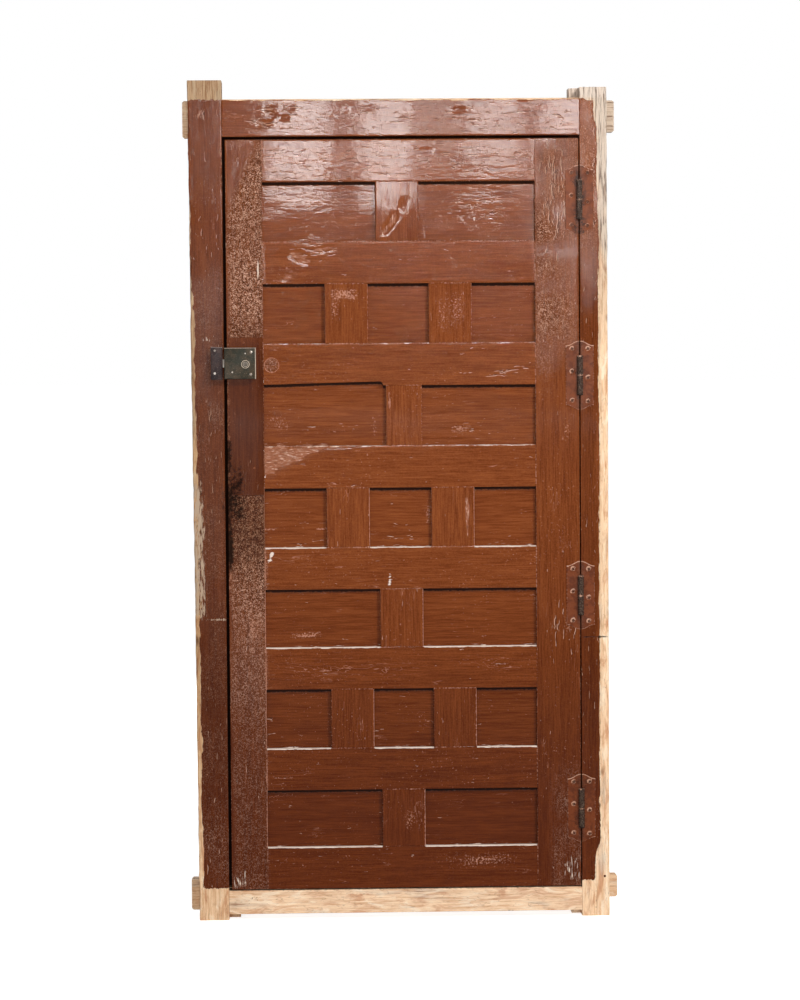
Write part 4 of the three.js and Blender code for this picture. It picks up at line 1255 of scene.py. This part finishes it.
# The plate is a board that narrows along its S-shaped ends, with a raised rim of paint. Beside the other half's
# knuckle it is cut back. side is -1 for the leaf's half, whose knuckle is above the seam, and 1 for the jamb's
def plateSurface(number, side, centre, screws, look):
    axisX, axisD, seam = centre
    inner, outer = hinges["plate"]
    reach, thickness = hinges["knuckleLength"], hinges["thickness"]
    endU, endV = plateEnd()
    clearance = hinges["knuckle"] + hinges["slide"]
    cleared = math.sqrt(clearance**2 - (axisD + thickness) ** 2) + joinery["gap"]
    steps = (-reach - 1.2, -reach - 0.8, -0.2, 0.2)

    def edges(a):
        v = (seam - a) * side
        near = np.interp(v, steps, (inner, cleared, cleared, inner))
        far = np.maximum(np.interp(np.abs(v), endV[::-1], endU[::-1]), near + 0.3)
        arris = np.minimum(0.8, 0.3 * (far - near))
        low, high = (near, far) if side > 0 else (-far, -near)
        return axisX + low, axisX + high, arris, arris

    def relief(a, w):
        x, z = w + 0 * a, a + 0 * w
        uneven = 0.25 * ripple(500 + number, z / 22, x / 9)
        for u, v in screws:
            away = np.hypot(x - axisX - side * u, z - seam - v)
            uneven = uneven + 0.5 * smoothStep((5.2 - away) / 1.4) - 0.35 * bell(away - 6, 1.3)
        return np.maximum(uneven, -0.4) + 0.4

    def values(x, z, d):
        u, v = (x - axisX) * side, z - seam
        top = np.interp(u, endU, endV)
        # Pale rims: worn paint, and painted highlight, stronger on the upper S-shaped end than on the lower,
        # and lit crescents on the upper left of each screw
        rim = bell(top - v, 1.8) + 0.4 * bell(top + v, 1.2) + 0.3 * bell(outer - u, 1.0)
        worn = rim * (0.7 + 0.5 * ripple(510 + number, x / 9, z / 9))
        for screwU, screwV in screws:
            across, up = x - axisX - side * screwU, v - screwV
            lit = 0.5 + 0.5 * np.cos(np.arctan2(up, across) - 2.2)
            worn = np.maximum(worn, 0.9 * bell(np.hypot(across, up) - 5.6, 1.1) * lit)
        soot = look["soot"] * (0.4 + 0.8 * ripple(520, x / 14, z / 18))
        soot = soot * (1.1 - 0.6 * smoothStep((u - 8) / 22))
        # painted shade on the plate beside the knuckle
        shade = 0.9 * bell(u - inner, 3.0) * (np.abs(v) < reach)
        return {"metal": 0.35 * bell(u - inner, 6), "wear": look["rims"] * worn,
                "soot": np.maximum(soot, shade), "tone": look["tone"]}

    breaks = [seam + way * height for way in (-1, 1) for height in endV[:1:-6]]
    breaks += [seam - side * step for step in steps]
    shape = {"sides": edges, "relief": relief, "face": -thickness}
    rows = plateRows(outer - inner, thickness)
    return boardSurface("z", stretchesAt(breaks, plain), rows, shape, values, number, hinges["step"])


# The knuckle is a profile of radius and height turned about the pin, with the pin's bore in its end
def knuckleSurface(number, side, centre, halfPin, look):
    axisX, axisD, seam = centre
    reach, radius, chamfer = hinges["knuckleLength"], hinges["knuckle"], hinges["knuckleChamfer"]
    gap = joinery["gap"]
    bore, boreEnd = halfPin[0] + gap, halfPin[2] + gap
    profile = [(0, reach), (radius - chamfer, reach), (radius, reach - chamfer)]
    for step in range(1, 12):
        height = reach - chamfer - step * (reach - 2 * chamfer) / 12
        profile.append((radius + 0.05 * math.sin(3 * step), height))
    profile += [(radius, gap / 2 + chamfer), (radius - chamfer, gap / 2)]
    profile += [(bore, gap / 2), (bore, boreEnd), (0, boreEnd)]
    radii, heights = np.array(profile[::-side], float).T[:, :, None]
    turn = np.linspace(0, 4 * quarterTurn, 32, endpoint=False)
    x, d = axisX + radii * np.cos(turn), axisD + radii * np.sin(turn)
    z = seam - side * heights + 0 * x
    # Painted light: a pale lip at the top end of the leaf's knuckle and at the seam, and a pale stripe down the
    # front, are painted highlights; the back half and the foot of the jamb's knuckle are darkened as painted
    # shade
    away = np.abs(z - seam)
    lip = bell(away - reach + 0.6, 1.0) * (side < 0) + 0.8 * bell(away, 1.6)
    foot = bell(away - reach, 2.2) * (side > 0)
    streak = bell(x - axisX + 2.2, 1.1) * (d < axisD)
    soot = np.clip(0.25 + 0.8 * smoothStep((d - axisD) / 4) + foot + look["soot"] * 0.5, 0, 1)
    wear = 0.9 * lip + 0.5 * streak * ripple(531 + number, z / 9)
    points = np.stack([x, d, z], -1).reshape(-1, 3)
    fields = {"metal": 1.0, "wear": wear, "soot": soot, "tone": look["tone"]}
    fields = {key: np.broadcast_to(value, x.shape).reshape(-1) for key, value in fields.items()}
    faces = gridFaces(len(profile), len(turn), wrap=True)[:, ::-1].tolist()
    return points, faces, {**fields, "grain": points * mm}


# A square grid pressed into a disc, domed in front and coned behind, with a slot across the dome
def screwSurface(x0, z0, face, radius, dome, slot, degrees, cone=1.6, values=lambda away: {}):
    halfSlot, slotDepth = slot
    w = halfSlot / radius
    s = np.array([-1, -0.85, -0.6, -0.3, -w - 0.02, -w, w, w + 0.02, 0.3, 0.6, 0.85, 1])
    s, t = np.meshgrid(s, np.linspace(-1, 1, 13), indexing="ij")
    u, v = s * np.sqrt(1 - t**2 / 2), t * np.sqrt(1 - s**2 / 2)
    away = np.clip(np.hypot(u, v), 0, 1)
    height = dome * (1 - away**2) - np.where(np.abs(s) <= w + 1e-6, slotDepth * (away < 0.97), 0)
    turn = math.radians(degrees)
    x = x0 + radius * (u * math.cos(turn) - v * math.sin(turn))
    z = z0 + radius * (u * math.sin(turn) + v * math.cos(turn))
    points = [np.stack([x, d, z], -1).reshape(-1, 3) for d in (face - height, face + cone * (1 - away))]
    quads = gridFaces(*s.shape)
    quads = np.concatenate([quads, quads[:, ::-1] + s.size]).tolist()
    fields = {key: np.tile(np.broadcast_to(value, s.shape).ravel(), 2) for key, value in values(away).items()}
    return np.concatenate(points), quads, fields


def makeHingeHalf(number, side, material):
    low, high = nodeSpan(f"hinge_{number}_pin")
    centre = (low + high) / 2
    name, body = ("leaf", "leaf") if side < 0 else ("jamb", "frame")
    screws = hinges[name + "Screws"]
    look = {key: hinges[key][number - 1] for key in ("rims", "soot", "tone")}
    plate = plateSurface(number, side, centre, screws, look)
    points, faces, fields = joined([plate, knuckleSurface(number, side, centre, (high - low) / 2, look)])
    piece = putMesh(f"hinge_{number}_{name}_half", points, faces, body, material, fields,
                    smoothAngle=32, weld=0.004)
    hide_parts(f"hinge_{number}_{name}_plate")

    def values(away):
        return {"metal": 0.6, "wear": 0.35 * look["rims"] * (away > 0.7), "tone": look["tone"],
                "soot": 0.3 * (away < 0.97) + 0.2}

    face = hinges["screwSink"] - hinges["thickness"]
    for screw, (u, v) in enumerate(screws):
        points, faces, fields = screwSurface(
            centre[0] + side * u, centre[2] + v, face, hinges["screwRadius"], hinges["screwDome"],
            hinges["screwSlot"], 35 + 71 * screw + 40 * number + 20 * side, values=values)
        putMesh(f"hinge_{number}_{name}_screw_{screw + 1}", points, faces, body, material,
                fields, smoothAngle=40, weld=0.004)


def makeHinges(material, steelMaterial):
    for number in range(1, 5):
        makeHingeHalf(number, -1, material)
        makeHingeHalf(number, 1, material)
        dress(f"hinge_{number}_pin", steelMaterial)
    print("hinges: plates, knuckles, pins and screws")


# Lock: the case and keeper keep their CAD shapes with rounded edges, and get screws, rivets and rings

lock = {
    "edge": 0.9,
    "caseFront": 2.0,  # how far the case stands before the keeper
    "caseScrews": ((57.9, 1292.0, 3.6), (57.4, 1239.5, 3.6)),
    "caseRivets": ((13.2, 1244.5, 2.1), (44.2, 1289.0, 1.8)),
    "keeperScrews": ((-28.1, 1296.3, 2.6), (-28.6, 1241.9, 3.0)),
    "barrel": (44.5, 1263.3),
    "rings": ((9.1, 0.7), (5.8, 0.4)),  # radius and width, worn bright on the barrel's end
    # bright edges, worn metal and painted highlight where the top and right sides face the light: axis, and
    # from where to where, past the piece's far side, the brightening grows
    "caseWear": ((2, -0.8, 0.2), (0, -1.6, -0.4)),
    "keeperWear": ((2, -0.6, 0.4),),
}


def dress(node, material):
    for slot in nodes[node].material_slots:
        slot.material = material


# A copy of a CAD node with its loose triangles merged and its edges rounded
def roundedCopy(node, ending, body, material, radius):
    mesh = nodes[node].data.copy()
    mesh.materials.clear()
    mesh.materials.append(material)
    work = bmesh.new()
    work.from_mesh(mesh)
    bmesh.ops.remove_doubles(work, verts=work.verts, dist=mm * mm)
    bmesh.ops.dissolve_limit(work, angle_limit=math.radians(1), verts=work.verts, edges=work.edges)
    work.to_mesh(mesh)
    work.free()
    smoothFaces(mesh)
    mesh.polygons.foreach_set("material_index", np.zeros(len(mesh.polygons), int))
    piece = addObject(f"{node}_{ending}", mesh)
    bevel = piece.modifiers.new("rounded", "BEVEL")
    bevel.width = radius * mm
    bevel.segments = 2
    bevel.limit_method = "ANGLE"
    bevel.angle_limit = math.radians(50)
    bevel.harden_normals = True
    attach(piece, body)
    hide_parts(node)


def makeLock(caseMaterial, keeperMaterial, boltMaterial, plugMaterial, steelMaterial):
    roundedCopy("lock_case", "iron", "leaf", caseMaterial, lock["edge"])
    roundedCopy("keeper", "iron", "frame", keeperMaterial, lock["edge"])
    roundedCopy("lock_bolt", "steel", "bolt", boltMaterial, 0.7)
    roundedCopy("cylinder_plug", "steel", "plug", plugMaterial, 0.3)
    keeperFace = nodeSpan("keeper")[0][1]
    caseFace = keeperFace - lock["caseFront"]
    heads = (("lock_screw", "leaf", caseFace, lock["caseScrews"], (0.45, 0.8), 1.2),
             ("lock_rivet", "leaf", caseFace, lock["caseRivets"], (0.2, 0.0), 0.9),
             ("keeper_screw", "frame", keeperFace, lock["keeperScrews"], (0.4, 0.7), 1.0))
    for name, body, face, places, slot, dome in heads:
        for number, (x, z, radius) in enumerate(places):
            points, faces, _ = screwSurface(x, z, face, radius, dome, slot, 50 + 65 * number, cone=1.0)
            putMesh(f"{name}_{number + 1}", points, faces, body, steelMaterial,
                    smoothAngle=50, weld=0.004)
    print("lock: case, keeper, bolt, cylinder and screws")


# Small things on the wood: a filled lock hole with its ring, and nail heads under the paint

smallThings = {
    "filledHole": (106.6, 1260.2, 18.4),
    "nails": (("leaf", 40, 1314, 2.6), ("frame", -40, 1119, 2.2), ("frame", -30, 1230, 1.8),
              ("leaf", 63, 1015, 2.4), ("leaf", 95, 1226, 2.6), ("leaf", 100, 1222, 2.0),
              ("frame", 874, 54, 2.6), ("frame", 899, 22, 3.0), ("leaf", 803, 1455, 2.4),
              ("leaf", 806, 866, 2.2), ("leaf", 30, 1752, 2.0)),
    "rim": 0.35,
}


# A low disc whose height follows its radius: flat in the middle, a groove, then a rounded rim; closed behind
def putDisc(name, body, x0, z0, radius, groove, seed, material):
    rim, around = smallThings["rim"], 48
    shares = np.array([0, 0.3, 0.6, 0.8, 0.86, 0.9, 0.94, 0.97, 1.0, 0])
    heights = np.array([0.25, 0.3, 0.2, 0.25, -groove, -groove * 0.3, rim, rim * 0.8, -0.6, -0.6])
    # the rim is pale: worn paint and painted highlight
    worn = np.interp(shares, [0, 0.84, 0.9, 0.95, 1], [0.1, 0.2, 0.75, 0.9, 0.5])
    worn[-1] = 0
    turn = np.linspace(0, 4 * quarterTurn, around, endpoint=False)
    r = radius * shares[:, None] * (1 + 0.03 * (ripple(seed, turn * 3) - 0.5))
    x, z = x0 + r * np.cos(turn), z0 + r * np.sin(turn)
    points = np.stack([x, 0 * x - heights[:, None], z], -1).reshape(-1, 3)
    values = paintFields(x, z, 0.0, wear=worn[:, None], crinkle=0.45 if radius > 10 else 0.0,
                         tone=1.0 if body == "leaf" else 0.7)
    values = {key: np.broadcast_to(value, x.shape).reshape(-1) for key, value in values.items()}
    values["grain"] = points * mm + seed
    faces = gridFaces(len(shares), around, wrap=True).tolist()
    putMesh(name, points, faces, body, material, values, weld=0.004)


def makeSmallThings(material):
    putDisc("filled_lock_hole", "leaf", *smallThings["filledHole"], 0.3, 7, material)
    for number, (body, x, z, radius) in enumerate(smallThings["nails"]):
        putDisc(f"nail_head_{number + 1}", body, x, z, radius, -0.4, 20 + number, material)
    print("small things: filled lock hole and nail heads")


# Stage and light

studio = {
    "world": 0.25,
    "floor": srgb(240, 240, 240),
    "floorGlow": 0.8,
    "floorReach": 60.0,
    "lamps": {
        "key": {"place": (1.9, -3.4, 3.5), "aim": (0.0, 0.0, 1.15), "size": (0.7, 0.7), "power": 120,
                "colour": (1.0, 0.97, 0.93)},
        "fill": {"place": (-1.6, -5.0, 1.0), "aim": (0.0, 0.0, 0.6), "size": (2.5, 1.6), "power": 32,
                 "colour": (1.0, 0.98, 0.96)},
        "back": {"place": (-1.4, 5.2, 1.3), "aim": (0.0, 0.0, 1.0), "size": (2.5, 1.6), "power": 80,
                 "colour": (1.0, 0.98, 0.96)},
    },
    # window panes far behind the camera, by where they show in the door: left, right, bottom, top, brightness
    "paneDistance": 40.0,
    "paneColour": (1.0, 0.95, 0.93),
    "panes": ((-0.322, -0.166, 1.715, 2.15, 96), (-0.098, 0.030, 1.715, 2.15, 92),
              (0.04, 0.14, 1.80, 2.15, 28), (0.152, 0.295, 1.765, 2.15, 78), (0.335, 0.50, 1.58, 2.15, 94)),
}


def addLamp(name, place, aim, size, power, colour):
    lamp = bpy.data.lights.new(name, "AREA")
    lamp.energy = power
    lamp.color = colour
    lamp.shape = "RECTANGLE"
    lamp.size, lamp.size_y = size
    backwards = Vector(place) - Vector(aim)
    holder = addObject(name, lamp)
    holder.matrix_world = Matrix.Translation(place) @ backwards.to_track_quat("Z", "Y").to_matrix().to_4x4()
    holder.visible_camera = False


def makeLamps():
    for name, values in studio["lamps"].items():
        addLamp(name, **values)
    # Mirrored in the door's face, a pane is larger than its reflection by as much as it is further away
    eyeX, eyeY, eyeZ = camera["place"]
    grow = 1 + studio["paneDistance"] / -eyeY
    for number, (left, right, bottom, top, brightness) in enumerate(studio["panes"]):
        size = ((right - left) * grow, (top - bottom) * grow)
        x = eyeX + ((left + right) / 2 - eyeX) * grow
        z = eyeZ + ((bottom + top) / 2 - eyeZ) * grow
        power = brightness * 4 * size[0] * size[1]
        place = (x, -studio["paneDistance"], z)
        addLamp(f"pane_{number + 1}", place, (0, 0, 1.9), size, power, studio["paneColour"])


# 1 for what the camera, a mirror or glass sees
def seenRay(tree):
    rays = addNode(tree, "LightPath").outputs
    camera, glossy, through = (Value(rays[f"Is {kind} Ray"]) for kind in ("Camera", "Glossy", "Transmission"))
    return camera.most(glossy).most(through)


def makeWorld():
    world = bpy.data.worlds.new("studio")
    bpy.context.scene.world = world
    world.use_nodes = True
    strength = mixNumbers(seenRay(world.node_tree), studio["world"], 1.0)
    feed(world.node_tree.nodes["Background"], {0: (1.0, 1.0, 1.0), 1: strength})


def makeFloor():
    reach = studio["floorReach"]
    mesh = bpy.data.meshes.new("floor")
    corners = [(-reach, -reach, 0), (reach, -reach, 0), (reach, reach, 0), (-reach, reach, 0)]
    mesh.from_pydata(corners, [], [(0, 1, 2, 3)])
    floor = addObject("floor", mesh)
    made, tree, shader = newMaterial("studio_floor")
    feed(shader, {"Base Color": studio["floor"], "Roughness": 0.9, "Specular IOR Level": 0.0,
                  "Emission Color": (1, 1, 1), "Emission Strength": seenRay(tree) * studio["floorGlow"]})
    mesh.materials.append(made)


bpy.context.scene.view_settings.view_transform = "Standard"
makeCamera()
makeWorld()
makeFloor()
makeLamps()
makeGroups()
print("studio: camera, lamps, floor and shader groups")


# Bright edges in metres, worn and with painted highlight, for a material: axis, from where to where the
# brightening grows, and the piece's front
def litAndWornEdges(node, bands, front):
    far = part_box(node)[1]
    return tuple((axis, far[axis] + start * mm, far[axis] + end * mm, front) for axis, start, end in bands)


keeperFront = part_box("keeper")[0][1]
caseEdges = litAndWornEdges("lock_case", lock["caseWear"], keeperFront - lock["caseFront"] * mm)
keeperEdges = litAndWornEdges("keeper", lock["keeperWear"], keeperFront)
barrel = [leafCorner[axis] + place * mm for axis, place in zip((0, 2), lock["barrel"])]
barrelRings = tuple((*barrel, radius * mm, width * mm) for radius, width in lock["rings"])
woodPaint = paintedWoodMaterial()
barePine = bareWoodMaterial()
brightSteel = ironMaterial("bright_steel", steel, 0.34, 0.9, 0.5)
boltSteel = ironMaterial("bolt_steel", paleSteel, 0.4, 0.1, 0.5)
plugSteel = ironMaterial("plug_steel", dullSteel, 0.4, 0.3, 0.3)
blackIron = ironMaterial("black_iron", darkIron, 0.42, 0.1, 0.12, caseEdges, barrelRings)
keeperBlack = ironMaterial("keeper_iron", keeperIron, 0.42, 0.1, 0.12, keeperEdges)
hingeIron = overpaintedMaterial()
makeLeaf(woodPaint)
makeFrame(woodPaint, barePine)
makeHinges(hingeIron, brightSteel)
makeLock(blackIron, keeperBlack, boltSteel, plugSteel, brightSteel)
makeSmallThings(woodPaint)

bpy.context.view_layer.update()
